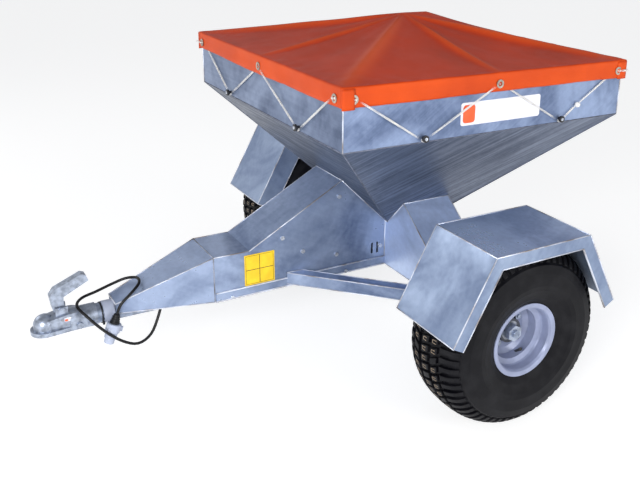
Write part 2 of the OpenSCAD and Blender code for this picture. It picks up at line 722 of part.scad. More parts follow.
// Upright plates from the leg ends to the mudguards' inner webs
module guard_stays() {
    color(steel) at_axle() both_sides() difference() {
        union() {
            plate_x(guard_inner - 6, guard_inner, [[-60, leg_foot], [60, leg_foot],
                [60, axle_height + guard_rise - 12], [-60, axle_height + guard_rise - 12]]);
            block([leg_end, -60, leg_foot], [guard_inner - 6, 60, leg_foot + 30]);
        }
        for (y = stay_bolts) bar_x(guard_inner - 7, guard_inner + 1, y, stay_bolt_z, 5);
        block([leg_end - 1, -axle_bar / 2, axle_height - axle_bar / 2],
            [guard_inner + 1, axle_bar / 2, axle_height + axle_bar / 2]);
    }
}

module mudguard_bolts() {
    color(zinc) at_axle() both_sides() for (y = stay_bolts) {
        bar_x(guard_inner - 12, guard_inner + sheet + 2, y, stay_bolt_z, 5);
        translate([guard_inner - 13, y, stay_bolt_z]) rotate([0, 90, 0]) cylinder(h = 7, r = 9, $fn = 6);
    }
}

// ---- wheels: each part is drawn for the left wheel, outboard along +X ----

// Turns a profile of [radius, distance out from the wheel's middle] about the axle
module wheel_ring(profile) {
    translate([half_track, 0, axle_height]) rotate([0, 90, 0])
        rotate_extrude($fn = 96) polygon(profile);
}
function flipped(p) = [for (i = [len(p) - 1:-1:0]) [p[i][0], -p[i][1]]];

wall = 4;
bead = rim_radius - 14;
well = rim_radius - 31;
disc_out = 6;
bolt_disc = 6;
hub_hole = 42;
module rim_left() {
    w = rim_half_width;
    tyre_side = [[rim_radius, w - 3], [bead + 3, w - 6], [bead, w - 12], [bead, 62], [bead - 3, 56], [well, 50]];
    air_side = [[well - wall, 54], [bead - 6.5, 60], [bead - wall, 65], [bead - wall, w - 9],
        [bead, w - 2], [rim_radius - 8, w], [rim_radius, w]];
    color([0.72, 0.73, 0.80]) at_axle() difference() {
        union() {
            wheel_ring(concat(tyre_side, flipped(tyre_side), flipped(air_side), air_side));
            wheel_ring([[hub_hole, disc_out], [64, disc_out], [well - wall + 1, disc_out + 8],
                [well - wall + 1, disc_out + 16], [64, disc_out + bolt_disc], [hub_hole, disc_out + bolt_disc]]);
        }
        for (a = [45:90:315]) stud_place(a) cylinder(h = 30, r = stud_radius + 0.5);
        valve_place() translate([0, 0, -14]) cylinder(h = 28, r = valve_radius);
    }
}
module rim_right() { right_side() rim_left(); }

stud_radius = 6;
hub_flange = 14;
module stud_place(a) {
    translate([half_track + disc_out - hub_flange - 8, 0, axle_height]) rotate([a, 0, 0])
        translate([0, 0, stud_circle]) rotate([0, 90, 0]) children();
}

module tyre_left() {
    r = tyre_radius;
    w = tyre_half_width;
    bead_w = rim_half_width;
    outside = [[bead, bead_w - 24], [bead, bead_w - 12], [bead + 3, bead_w - 6], [rim_radius, bead_w - 3.2],
        [rim_radius + 5, bead_w + 4], [rim_radius + 24, w - 10], [rim_radius + 48, w - 3],
        [r - 96, w], [r - 73, w - 3], [r - 50, w - 9], [r - 33, w - 19], [r - 16, w - 39], [r - 4, w - 74]];
    inside = [[r - 14, w - 74], [r - 26, w - 44], [r - 42, w - 28], [r - 58, w - 19], [r - 76, w - 13],
        [r - 96, w - 10], [rim_radius + 48, w - 13], [rim_radius + 26, w - 20], [rim_radius + 8, bead_w - 8]];
    color(dark) at_axle() wheel_ring(concat(outside, [[r, 0]], flipped(outside),
        flipped(inside), inside));
}
module tyre_right() { right_side() tyre_left(); }

bearing_radius = 31;
hub_barrel = 38;
module hub_left() {
    color([0.20, 0.20, 0.21]) at_axle() {
        difference() {
            union() {
                bar_x(hub_inner, hub_outer, 0, axle_height, hub_barrel);
                bar_x(half_track + disc_out - hub_flange, half_track + disc_out, 0, axle_height, 66);
            }
            bar_x(hub_inner - 1, hub_outer + 1, 0, axle_height, bearing_radius);
            for (a = [45:90:315]) stud_place(a) cylinder(h = 30, r = stud_radius);
        }
    }
}
module hub_right() { right_side() hub_left(); }

module bearings_left() {
    places = [hub_inner + 2, hub_outer - 2 - bearing_width];
    color([0.6, 0.6, 0.62]) at_axle() for (x = places) difference() {
        bar_x(x, x + bearing_width, 0, axle_height, bearing_radius);
        bar_x(x - 1, x + bearing_width + 1, 0, axle_height, spindle_radius + running_gap);
    }
}
module bearings_right() { right_side() bearings_left(); }

module wheel_nuts_left() {
    color(zinc) at_axle() for (a = [45:90:315]) stud_place(a) {
        cylinder(h = hub_flange + 8 + bolt_disc + 18, r = stud_radius);
        translate([0, 0, hub_flange + 8 + bolt_disc]) cylinder(h = 12, r = 11, $fn = 6);
    }
}
module wheel_nuts_right() { right_side() wheel_nuts_left(); }

valve_length = 30;
valve_radius = 4;
// The valve's foot on the inside of the rim's well, leaning outboard
module valve_place() {
    translate([half_track + 34, 0, axle_height]) rotate([200, 0, 0])
        translate([0, 0, well - wall]) rotate([0, 130, 0]) children();
}
module valve_left() {
    color(dark) at_axle() valve_place() {
        translate([0, 0, -8]) cylinder(h = valve_length + 8, r = valve_radius);
        translate([0, 0, valve_length]) cylinder(h = 8, r = valve_radius + 1);
    }
}
module valve_right() { right_side() valve_left(); }

washer = 4;
module axle_washers() {
    color(zinc) at_axle() both_sides() difference() {
        bar_x(hub_outer - 2, hub_outer - 2 + washer, 0, axle_height, 24);
        bar_x(hub_outer - 3, hub_outer - 1 + washer, 0, axle_height, thread_radius);
    }
}
module axle_nuts() {
    face = hub_outer - 2 + washer;
    color(zinc) at_axle() both_sides() difference() {
        translate([face, 0, axle_height]) rotate([0, 90, 0]) cylinder(h = 20, r = 26, $fn = 6);
        bar_x(face - 1, face + 21, 0, axle_height, thread_radius);
    }
}

// ---- metering gate and spinner ----

gate_top = floor_height - 3.5;
gate_thick = 3;
gate_half = window_half + 7;
gate_front = window_front - 6;
gate_rear = window_rear + 6;
arm_x = gate_half;
arm_foot = floor_height - 17;
arm_width = 20;
arm_reach = leg_half + 52;
module gate_plate() {
    color(steel) at_axle() {
        block([-gate_half, gate_front, gate_top - gate_thick], [gate_half, gate_rear, gate_top]);
        block([gate_half - 2, gate_front + 20, gate_top - gate_thick], [arm_x + arm_width, gate_rear - 20, gate_top]);
        block([arm_x, gate_front + 20, arm_foot], [arm_x + arm_width, gate_rear - 20, gate_top]);
        block([arm_x, gate_front + 20, arm_foot], [arm_x + arm_width, arm_reach, arm_foot + 6]);
    }
}
module gate_knob() {
    color(dark) at_axle() difference() {
        translate([arm_x + arm_width / 2, arm_reach + 12, arm_foot + 3]) sphere(r = 16);
        block([arm_x, arm_reach - 20, arm_foot], [arm_x + arm_width, arm_reach, arm_foot + 6]);
    }
}

rail_gap = 1;
rail_wall = 4;
rail_foot = floor_height - 10;
// Pair of ledges under the floor that the gate slides on
module gate_rails() {
    ledge_top = gate_top - gate_thick - 0.5;
    reach = floor_size / 2 - 2;
    color(steel) at_axle() for (s = [[gate_front - rail_gap, -1], [gate_rear + rail_gap, 1]]) {
        low = min(s[0], s[0] + s[1] * rail_wall);
        lip = min(s[0] - s[1] * 6, s[0] + s[1] * rail_wall);
        block([-reach, low, rail_foot], [reach, low + rail_wall, floor_height]);
        block([-reach, lip, rail_foot], [arm_x - 4, lip + 6 + rail_wall, ledge_top]);
    }
}

chute_wall = 2;
chute_foot = disc_height + 37;
module drop_chute() {
    low = [-window_half - 2, window_front - 4];
    high = [window_half + 2, window_rear + 2];
    color(steel) at_axle() difference() {
        block([low[0] - chute_wall, low[1] - chute_wall, chute_foot],
            [high[0] + chute_wall, high[1] + chute_wall, rail_foot]);
        block([low[0], low[1], chute_foot - 1], [high[0], high[1], rail_foot + 1]);
    }
}

box_half = 36;
box_front = spinner_offset - 37;
box_rear = spinner_offset + 40;
box_foot = floor_height - 121;
box_top = floor_height - 57;
hanger_posts = [spinner_offset - 16, spinner_offset + 36];
module gearbox_hanger() {
    color(steel) at_axle() {
        difference() {
            block([-58, box_front, box_top], [58, box_rear, box_top + 5]);
            translate([0, spinner_offset, box_top - 1]) cylinder(h = 8, r = spinner_shaft + 6);
        }
        for (x = [-49, 49], y = hanger_posts)
            translate([x, y, box_top + 5]) cylinder(h = floor_height - box_top - 5, r = 7);
    }
}

module gearbox() {
    color([0.45, 0.47, 0.50]) at_axle() difference() {
        union() {
            block([-box_half, box_front, box_foot], [box_half, box_rear, box_top]);
            translate([0, spinner_offset, box_foot - 8]) cylinder(h = 9, r = 24);
        }
        translate([0, spinner_offset, box_foot - 10])
            cylinder(h = box_top - box_foot + 20, r = spinner_shaft + running_gap);
    }
}

motor_radius = 34;
motor_length = 125;
motor_height = (box_foot + box_top) / 2;
module motor() {
    color(dark) at_axle() {
        bar_y(box_rear, box_rear + 8, 0, motor_height, motor_radius + 4);
        bar_y(box_rear + 8, box_rear + motor_length, 0, motor_height, motor_radius);
        bar_y(box_rear + motor_length, box_rear + motor_length + 8, 0, motor_height, motor_radius - 10);
    }
}

shaft_foot = disc_height - 16;
shaft_head = floor_height + 44;
module drive_shaft() {
    color(zinc) at_axle() {
        translate([0, spinner_offset, shaft_foot])
            cylinder(h = shaft_head - shaft_foot, r = spinner_shaft);
        translate([0, spinner_offset, shaft_foot - 1]) cylinder(h = 14, r = 15, $fn = 6);
    }
}

module spinner_disc() {
    color([0.70, 0.71, 0.72]) at_axle() translate([0, spinner_offset, disc_height]) difference() {
        union() {
            cylinder(h = 3, r = disc_radius);
            cylinder(h = 26, r = 25);
        }
        translate([0, 0, -1]) cylinder(h = 30, r = spinner_shaft);
    }
}

vane_height = 20;
module spinner_vanes() {
    color([0.70, 0.71, 0.72]) at_axle() translate([0, spinner_offset, disc_height + 3])
        for (a = [0:360 / vane_count:359]) rotate([0, 0, a + 20]) {
            translate([25, -1.5, 0]) cube([disc_radius - 30, 3, vane_height]);
            translate([25, -12, 0]) cube([disc_radius - 30, 12, 2]);
        }
}

agitator_reach = 42;
module agitator() {
    hub_z = floor_height + 16;
    color(zinc) at_axle() translate([0, spinner_offset, 0]) {
        difference() {
            translate([0, 0, hub_z]) cylinder(h = 26, r = 17);
            translate([0, 0, hub_z - 1]) cylinder(h = 28, r = spinner_shaft);
        }
        for (a = [0, 180]) rotate([0, 0, a + 50]) {
            bar_x(15, agitator_reach, 0, hub_z + 14, 5);
            translate([agitator_reach, 0, hub_z + 9]) cylinder(h = 90, r = 5);
        }
    }
}

module floor_bush() {
    color([0.75, 0.62, 0.35]) at_axle() translate([0, spinner_offset, 0]) difference() {
        union() {
            translate([0, 0, floor_height - 8]) cylinder(h = 8, r = bush_radius + 8);
            translate([0, 0, floor_height - 1]) cylinder(h = 12, r = bush_radius);
        }
        translate([0, 0, floor_height - 10]) cylinder(h = 30, r = spinner_shaft + running_gap);
    }
}

// ---- cable ----

cable_radius = 4.25;
// Stations of the power cable: out from under the nose, in a loop beside the
// tow tube, over the coupling, back over the nose and down to the plug
cable_stations = [[44, -842, 330], [50, -857, 285], [66, -888, 237], [75, -930, 221],
    [79, -976, 244], [77, -1022, 288], [60, -1060, 333], [18, -1078, 354], [-24, -1056, 356],
    [-42, -1010, 359], [-52, -962, 368], [-46, -922, 380], [-18, -896, 388], [20, -900, 387],
    [48, -932, 373], [55, -964, 349], [55, -978, 320]];
// Curve through the stations, with three rings for each
function between(p, i, t) =
    let (a = p[max(i - 1, 0)], b = p[i], c = p[i + 1], d = p[min(i + 2, len(p) - 1)])
    b + t * (c - a) / 2 + t * t * (2 * a - 5 * b + 4 * c - d) / 2
        + t * t * t * (3 * b - a - 3 * c + d) / 2;
cable_route = concat([for (i = [0:len(cable_stations) - 2], k = [0:2])
    between(cable_stations, i, k / 3)], [cable_stations[len(cable_stations) - 1]]);
module power_cable() {
    color(dark) at_axle() swept_tube(cable_route, cable_radius, 10);
}

plug_place = [55, -978, 320];
plug_lean = 20;
// Rubber boot, then the plug's body in three steps, and a key on its side
module plug() {
    color([0.82, 0.83, 0.87]) at_axle() translate(plug_place) rotate([180 - plug_lean, 0, 0]) {
        cylinder(h = 28, r1 = 9, r2 = 14);
        translate([0, 0, 28]) cylinder(h = 26, r = 21);
        translate([0, 0, 54]) cylinder(h = 20, r = 17.5);
        translate([0, 0, 74]) cylinder(h = 16, r = 14.5);
        block([-5, -28, 36], [5, -19, 50]);
    }
}

tie_radius = 30;
module cable_tie() {
    color(dark) at_axle() {
        difference() {
            bar_y(-nose_front - 38, -nose_front - 34, 0, tube_height, tie_radius + 2);
            bar_y(-nose_front - 39, -nose_front - 33, 0, tube_height, tie_radius);
        }
        block([tie_radius + 0.5, -nose_front - 39, tube_height - 24], [tie_radius + 6, -nose_front - 33, tube_height - 14]);
    }
}

hopper();
cover();
cover_frame();
cover_eyelets();
lacing_cord();
lacing_hooks();
hook_bolts();
side_plate();
drawbar_plate();
drawbar();
drawbar_nose();
belly_tray();
drawbar_bolts();
tow_tube();
tube_collar();
coupling_head();
coupling_bolts();
coupling_lever();
lever_pin();
ball_jaw();
jaw_pin();
leg_box();
axle_gussets();
stub_axle_left();
stub_axle_right();
brace_left();
brace_right();
mudguard_left();
mudguard_right();
guard_stays();
mudguard_bolts();
rim_left();
rim_right();
tyre_left();
tyre_right();
hub_left();
hub_right();
bearings_left();
bearings_right();
wheel_nuts_left();
wheel_nuts_right();
valve_left();
valve_right();
axle_washers();
axle_nuts();
gate_plate();
gate_knob();
gate_rails();
drop_chute();
gearbox_hanger();
gearbox();
motor();
drive_shaft();
spinner_disc();
spinner_vanes();
agitator();
floor_bush();
power_cable();
plug();
cable_tie();
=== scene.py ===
# %% [markdown]
# # A towed garden spreader
# The spreader's steelwork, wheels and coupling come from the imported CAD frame.
# This lesson adds what CAD leaves out: cloth, rubber tread, welds, cable and finish.
# Everything is in metres, and the hitch points along -Y.

# %% Load the frame
import math

import bmesh
import bpy
import numpy as np
from mathutils import Matrix, Vector, noise


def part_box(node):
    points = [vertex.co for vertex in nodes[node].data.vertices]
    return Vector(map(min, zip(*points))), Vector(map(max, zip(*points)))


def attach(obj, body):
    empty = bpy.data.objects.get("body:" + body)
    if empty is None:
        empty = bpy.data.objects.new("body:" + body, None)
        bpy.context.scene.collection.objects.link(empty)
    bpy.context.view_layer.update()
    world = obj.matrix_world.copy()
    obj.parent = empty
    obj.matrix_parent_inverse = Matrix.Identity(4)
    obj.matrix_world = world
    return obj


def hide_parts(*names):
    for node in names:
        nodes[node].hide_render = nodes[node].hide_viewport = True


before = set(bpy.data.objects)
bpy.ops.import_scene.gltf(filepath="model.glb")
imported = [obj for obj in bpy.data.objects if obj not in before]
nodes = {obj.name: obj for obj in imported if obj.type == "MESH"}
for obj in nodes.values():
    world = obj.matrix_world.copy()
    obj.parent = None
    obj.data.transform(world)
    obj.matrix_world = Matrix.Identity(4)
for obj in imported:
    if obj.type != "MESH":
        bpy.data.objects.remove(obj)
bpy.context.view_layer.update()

# %% [markdown]
# The camera stands at chin height, a little ahead of the hitch and to one side.
# A camera is a matrix: its three columns are right, up and backwards.
# We build those from an azimuth, an elevation and a small roll.

# %% Camera
def stand_camera(azimuth, elevation, roll, target, distance):
    a, e, r = (math.radians(v) for v in (azimuth, elevation, roll))
    back = Vector((math.sin(a) * math.cos(e), -math.cos(a) * math.cos(e), math.sin(e)))
    right = Vector((math.cos(a), math.sin(a), 0))
    up = back.cross(right)
    turned_right = math.cos(r) * right + math.sin(r) * up
    turned_up = -math.sin(r) * right + math.cos(r) * up
    columns = Matrix((turned_right, turned_up, back)).transposed()
    camera = bpy.data.objects.new("camera", bpy.data.cameras.new("camera"))
    bpy.context.scene.collection.objects.link(camera)
    camera.matrix_world = Matrix.Translation(target + back * distance) @ columns.to_4x4()
    return camera


camera = stand_camera(azimuth=56.56, elevation=18.94, roll=1.88,
                      target=Vector((-1.0115, 1.0274, 0.1131)), distance=4.1645)
camera.data.lens = 46.31
camera.data.shift_x = -0.124
camera.data.shift_y = -0.081
bpy.context.scene.camera = camera
print("camera at", [round(v, 2) for v in camera.location])

# %% [markdown]
# A white sweep and big soft lamps are how a catalogue shows bare zinc: the metal
# needs something pale to mirror, and one lamp near the camera to pick out its edges.
# The sky is darker overhead, so level sheets read darker than upright ones.

# %% Studio
def lamp(name, place, aim, size, watts):
    light = bpy.data.lights.new(name, "AREA")
    light.size = size
    light.energy = watts
    holder = bpy.data.objects.new(name, light)
    bpy.context.scene.collection.objects.link(holder)
    holder.location = place
    holder.rotation_euler = (Vector(aim) - Vector(place)).to_track_quat("-Z", "Y").to_euler()


lamp("key_lamp", (3.0, -3.0, 1.9), (0, 0.1, 0.5), 1.4, 125)
lamp("side_lamp", (4.4, 1.6, 1.7), (0, 0.3, 0.5), 1.8, 55)
lamp("left_lamp", (-3.2, -2.8, 2.2), (0, 0, 0.5), 2.0, 22)

world = bpy.data.worlds.new("studio_sky")
bpy.context.scene.world = world
world.use_nodes = True
sky = world.node_tree
sky_place = sky.nodes.new("ShaderNodeTexCoord")
sky_split = sky.nodes.new("ShaderNodeSeparateXYZ")
sky_ramp = sky.nodes.new("ShaderNodeValToRGB")
sky_ramp.color_ramp.elements[0].position = 0.0
sky_ramp.color_ramp.elements[0].color = (0.97, 0.98, 1.0, 1)
sky_ramp.color_ramp.elements[1].position = 0.85
sky_ramp.color_ramp.elements[1].color = (0.36, 0.37, 0.39, 1)
sky.links.new(sky_place.outputs["Generated"], sky_split.inputs[0])
sky.links.new(sky_split.outputs["Z"], sky_ramp.inputs[0])
sky.links.new(sky_ramp.outputs["Color"], sky.nodes["Background"].inputs["Color"])
sky.nodes["Background"].inputs["Strength"].default_value = 0.68
bpy.context.scene.view_settings.view_transform = "Standard"

# %% [markdown]
# Materials are small graphs of nodes. Writing a graph by hand is long, so two
# helpers carry the work: one adds a node, the other starts a shader and sets the
# numbers that are the same all over the surface.

# %% Material helpers
def linear(red, green, blue):
    """A colour from 0-255 screen values as the linear light a shader needs."""
    share = [v / 255 for v in (red, green, blue)]
    return (*[v / 12.92 if v < 0.04 else ((v + 0.055) / 1.055) ** 2.4 for v in share], 1)


def finish_named(name, **sockets):
    made = bpy.data.materials.new(name)
    made.use_nodes = True
    shader = made.node_tree.nodes["Principled BSDF"]
    for key, value in sockets.items():
        shader.inputs[key.replace("_", " ")].default_value = value
    return made, made.node_tree, shader


def add(tree, kind, inputs=None, **settings):
    node = tree.nodes.new("ShaderNode" + kind)
    for key, value in settings.items():
        setattr(node, key, value)
    for key, value in (inputs or {}).items():
        if hasattr(value, "is_output"):
            tree.links.new(value, node.inputs[key])
        else:
            node.inputs[key].default_value = value
    return node


def ramp(tree, source, stops):
    node = add(tree, "ValToRGB", {0: source})
    marks = node.color_ramp.elements
    while len(marks) < len(stops):
        marks.new(0.5)
    for mark, (place, colour) in zip(marks, stops):
        mark.position = place
        mark.color = colour if len(colour) == 4 else (*colour, 1)
    return node.outputs["Color"]


def grey(value):
    return (value, value, value, 1)


def mixed(tree, share, first, second, mode="MIX"):
    node = add(tree, "Mix", data_type="RGBA", blend_type=mode)
    for key, value in ((0, share), (6, first), (7, second)):
        if hasattr(value, "is_output"):
            tree.links.new(value, node.inputs[key])
        else:
            node.inputs[key].default_value = value
    return node.outputs[2]


def place_of(tree, scale=(1, 1, 1), turn=(0, 0, 0)):
    """The point's own place on the piece, first turned and then stretched."""
    where = add(tree, "TexCoord").outputs["Object"]
    turned = add(tree, "Mapping", {"Vector": where, "Rotation": turn}).outputs[0]
    return add(tree, "Mapping", {"Vector": turned, "Scale": scale}).outputs[0]


def bumped(tree, shader, height, strength, distance):
    bump = add(tree, "Bump", {"Height": height, "Strength": strength, "Distance": distance})
    tree.links.new(bump.outputs[0], shader.inputs["Normal"])


def paint(node_names, made):
    for name in node_names.split():
        piece = nodes[name]
        piece.data.materials.clear()
        piece.data.materials.append(made)


# %% [markdown]
# Painted shade and light by facing: the way a wall faces sets a grey that multiplies
# its zinc colour, darker on undersides, darker on the hopper's level tops and lighter
# on the other tops, and different again on the walls across the hitch line.
# The surface normal tells a node which way a wall faces, wherever anybody stands.

# %% Painted shade and light by which way a wall faces
def painted_facing_shade(tree, under, top, ends):
    """A grey of painted shade and light to multiply by: for undersides, for tops and for walls across the
    hitch line.
    """
    facing = add(tree, "SeparateXYZ", {0: add(tree, "NewGeometry").outputs["Normal"]})
    height = add(tree, "MapRange", {0: facing.outputs["Z"], 1: -1.0, 2: 1.0}).outputs[0]
    level = ramp(tree, height, [(0.12, grey(under)), (0.46, grey(1.0)), (0.80, grey(1.0)), (0.93, grey(top))])
    along = add(tree, "Math", {0: facing.outputs["Y"]}, operation="ABSOLUTE").outputs[0]
    across = ramp(tree, along, [(0.35, grey(1.0)), (0.75, grey(ends))])
    return mixed(tree, 1.0, level, across, "MULTIPLY")


# %% [markdown]
# Hot-dip galvanised sheet is dull zinc with four patterns: fine grain, crystal
# flakes about a thumb wide, cloudy patches wider than a hand, and streaks where the
# sheet was brushed. Each pattern is one texture. Walls that lean outwards show
# mostly streaks, and the others mostly clouds.

# %% Galvanised sheet
# under, top and ends are painted shade below 1 and painted light above 1, by which way a wall faces.
def galvanised(name, dark, light, turn=(0, 0, 0), streak=0.5, rough=0.40, under=0.6, top=0.8, ends=1.0):
    made, tree, shader = finish_named(name, Metallic=0.55, Specular_IOR_Level=0.5)
    flakes = add(tree, "TexVoronoi", {"Vector": place_of(tree), "Scale": 60.0})
    flake = add(tree, "RGBToBW", {0: flakes.outputs["Color"]}).outputs[0]
    cloud = add(tree, "TexNoise", {"Vector": place_of(tree), "Scale": 3.6, "Detail": 3.5,
                                   "Roughness": 0.60, "Distortion": 0.8}).outputs["Fac"]
    grain = add(tree, "TexNoise", {"Vector": place_of(tree), "Scale": 70.0, "Detail": 4.0}).outputs["Fac"]
    brushed = add(tree, "TexNoise", {"Vector": place_of(tree, (3, 3, 95), turn), "Scale": 1.0,
                                     "Detail": 5.0, "Roughness": 0.65}).outputs["Fac"]
    patches = ramp(tree, cloud, [(0.37, grey(0)), (0.62, grey(1))])
    lines = ramp(tree, brushed, [(0.42, grey(0)), (0.62, grey(1))])
    specks = ramp(tree, grain, [(0.36, grey(0)), (0.64, grey(1))])
    facing = add(tree, "SeparateXYZ", {0: add(tree, "NewGeometry").outputs["Normal"]}).outputs["Z"]
    leaning = add(tree, "MapRange", {0: facing, 1: -0.45, 2: -0.1, 3: streak, 4: streak * 0.25}).outputs[0]
    broad = mixed(tree, leaning, patches, lines)
    share = mixed(tree, 0.20, broad, mixed(tree, 0.5, flake, specks))
    zinc = mixed(tree, share, dark, light)
    # Multiplies in painted shade and painted light by which way the wall faces.
    shaded = mixed(tree, 1.0, zinc, painted_facing_shade(tree, under, top, ends), "MULTIPLY")
    tree.links.new(shaded, shader.inputs["Base Color"])
    spread = add(tree, "MapRange", {0: share, 3: rough + 0.14, 4: rough - 0.12}).outputs[0]
    tree.links.new(spread, shader.inputs["Roughness"])
    bumped(tree, shader, broad, 0.08, 0.002)
    return made


BRUSHED_UP = (math.radians(-35), 0, 0)
# The under, top and ends numbers paint shade below 1 and light above 1, by facing.
steel_side = galvanised("zinc_hopper", linear(88, 104, 136), linear(154, 172, 206),
                        turn=BRUSHED_UP, streak=0.62, rough=0.42, under=0.40, top=0.8, ends=0.72)
steel_plain = galvanised("zinc_drawbar", linear(84, 101, 134), linear(164, 180, 210),
                         turn=(math.radians(25), 0, 0), streak=0.3, rough=0.38,
                         under=0.55, top=1.30, ends=0.95)
steel_leg = galvanised("zinc_leg", linear(122, 138, 170), linear(182, 198, 228),
                       turn=(math.radians(60), 0, 0), streak=0.25, rough=0.40,
                       under=0.6, top=1.35, ends=1.15)
steel_guard = galvanised("zinc_mudguard", linear(110, 126, 156), linear(160, 176, 202),
                         turn=(math.radians(-55), 0, 0), streak=0.30, rough=0.36,
                         under=0.5, top=1.75, ends=1.08)
paint("drawbar drawbar_nose belly_tray brace_left brace_right gate_rails gate_plate drop_chute "
      "gearbox_hanger", steel_plain)
paint("leg_box axle_gussets guard_stays", steel_leg)
paint("hopper", steel_side)
paint("mudguard_left mudguard_right", steel_guard)
print("zinc finishes:", steel_side.name, steel_plain.name, steel_leg.name, steel_guard.name)

# %% [markdown]
# Bolts, pins and the coupling are electro-zinc plated: brighter and smoother than
# the sheet, with fine scratches and grime in the low spots.

# %% Bright zinc
def plated(name, colour, rough, metal=0.85):
    made, tree, shader = finish_named(name, Metallic=metal)
    wear = add(tree, "TexNoise", {"Vector": place_of(tree), "Scale": 60.0, "Detail": 6.0}).outputs["Fac"]
    scratch = add(tree, "TexNoise", {"Vector": place_of(tree, (30, 400, 400)), "Scale": 1.0,
                                     "Detail": 3.0}).outputs["Fac"]
    dull = tuple(v * 0.55 for v in colour[:3]) + (1,)
    tree.links.new(mixed(tree, ramp(tree, wear, [(0.35, grey(0)), (0.6, grey(1))]), dull, colour),
                   shader.inputs["Base Color"])
    tree.links.new(add(tree, "MapRange", {0: scratch, 3: rough - 0.12, 4: rough + 0.16}).outputs[0],
                   shader.inputs["Roughness"])
    bumped(tree, shader, wear, 0.10, 0.001)
    return made


bright_zinc = plated("bright_zinc", linear(176, 186, 204), 0.34, 0.75)
tube_zinc = plated("tube_zinc", linear(156, 168, 190), 0.38, 0.75)
bare_steel = plated("bare_steel", linear(168, 172, 180), 0.34)
bronze = plated("bush_bronze", linear(196, 160, 98), 0.38)
brass = plated("eyelet_brass", linear(196, 190, 178), 0.34)
bolt_zinc = plated("bolt_zinc", linear(216, 222, 234), 0.28, 0.6)
paint("coupling_head coupling_lever coupling_bolts lever_pin axle_nuts axle_washers "
      "wheel_nuts_left wheel_nuts_right cover_frame", bright_zinc)
paint("drawbar_bolts mudguard_bolts hook_bolts", bolt_zinc)
paint("tow_tube stub_axle_left stub_axle_right", tube_zinc)
paint("ball_jaw jaw_pin drive_shaft spinner_disc spinner_vanes agitator bearings_left "
      "bearings_right", bare_steel)
paint("floor_bush", bronze)
paint("cover_eyelets", brass)

# %% [markdown]
# Plastic and rubber are simple shaders with a little mould grain. Painted rims
# are a gloss lavender grey, with dust that dulls the gloss in patches.

# %% Plastics, rubber and paint
def moulded(name, colour, rough, grain=900.0, depth=0.08, **sockets):
    made, tree, shader = finish_named(name, **sockets)
    grit = add(tree, "TexNoise", {"Vector": place_of(tree), "Scale": grain, "Detail": 2.0}).outputs["Fac"]
    dust = add(tree, "TexNoise", {"Vector": place_of(tree), "Scale": 22.0, "Detail": 5.0}).outputs["Fac"]
    pale = tuple(min(1, v * 1.25 + 0.008) for v in colour[:3]) + (1,)
    tree.links.new(mixed(tree, ramp(tree, dust, [(0.42, grey(0)), (0.72, grey(1))]), colour, pale),
                   shader.inputs["Base Color"])
    tree.links.new(add(tree, "MapRange", {0: dust, 3: rough - 0.08, 4: rough + 0.12}).outputs[0],
                   shader.inputs["Roughness"])
    bumped(tree, shader, grit, depth, 0.0006)
    return made


black_plastic = moulded("black_plastic", linear(24, 24, 27), 0.42)
cable_sheath = moulded("cable_sheath", linear(7, 7, 9), 0.42, 300.0, Specular_IOR_Level=0.3)
grey_plastic = moulded("grey_plastic", linear(164, 172, 192), 0.42)
white_plate = moulded("white_plate", linear(222, 222, 230), 0.35, Coat_Weight=0.2)
orange_plate = moulded("orange_plate", linear(222, 84, 26), 0.35, Coat_Weight=0.2)
yellow_plate = moulded("yellow_plate", linear(232, 192, 16), 0.40, Coat_Weight=0.15)
rim_paint = moulded("rim_paint", linear(140, 148, 176), 0.34, 500.0, 0.03, Coat_Weight=0.2, Metallic=0.15)
hub_paint = moulded("hub_paint", linear(70, 72, 80), 0.42, 400.0, 0.15, Metallic=0.3)
paint("lacing_hooks gate_knob motor cable_tie valve_left valve_right", black_plastic)
paint("tube_collar", grey_plastic)
paint("side_plate", white_plate)
paint("drawbar_plate", yellow_plate)
paint("rim_left rim_right", rim_paint)
paint("hub_left hub_right gearbox", hub_paint)

# %% [markdown]
# Folded sheet never has a knife edge: the brake leaves a small outside radius, and
# zinc rounds every cut. Molten zinc also builds up there. The pale zinc on the new
# faces is a painted highlight: it stands in for the thin pale lines of light that
# folds and rims catch, with darker stains in patches. A bevel modifier makes both:
# it rounds the edge without touching the CAD mesh, and gives the new faces a
# material of their own.

# %% Soft edges with painted highlight on the steelwork
# Pale edge zinc: a painted highlight along rounded edges and folds, with darker stains in patches.
edge_highlight_zinc, edge_tree, edge_shader = finish_named("zinc_edge_painted_highlight", Metallic=0.35)
stain_and_highlight = add(edge_tree, "TexNoise", {"Vector": place_of(edge_tree), "Scale": 16.0,
                                    "Detail": 5.0}).outputs["Fac"]
edge_tree.links.new(ramp(edge_tree, stain_and_highlight, [(0.34, linear(146, 138, 136)), (0.52, linear(206, 212, 226)),
                                            (0.75, linear(236, 240, 248))]), edge_shader.inputs["Base Color"])
edge_tree.links.new(add(edge_tree, "MapRange", {0: stain_and_highlight, 3: 0.55, 4: 0.30}).outputs[0],
                    edge_shader.inputs["Roughness"])


def soften(names, width, segments=2, highlight_edges=False):
    for name in names.split():
        bevel = nodes[name].modifiers.new("soft_edge", "BEVEL")
        bevel.width = width
        bevel.segments = segments
        bevel.limit_method = "ANGLE"
        bevel.angle_limit = math.radians(24)
        bevel.harden_normals = not highlight_edges
        # Pieces that ask for it get the pale edge zinc, a painted highlight, on their rounded faces.
        if highlight_edges:
            nodes[name].data.materials.append(edge_highlight_zinc)
            bevel.material = len(nodes[name].data.materials) - 1


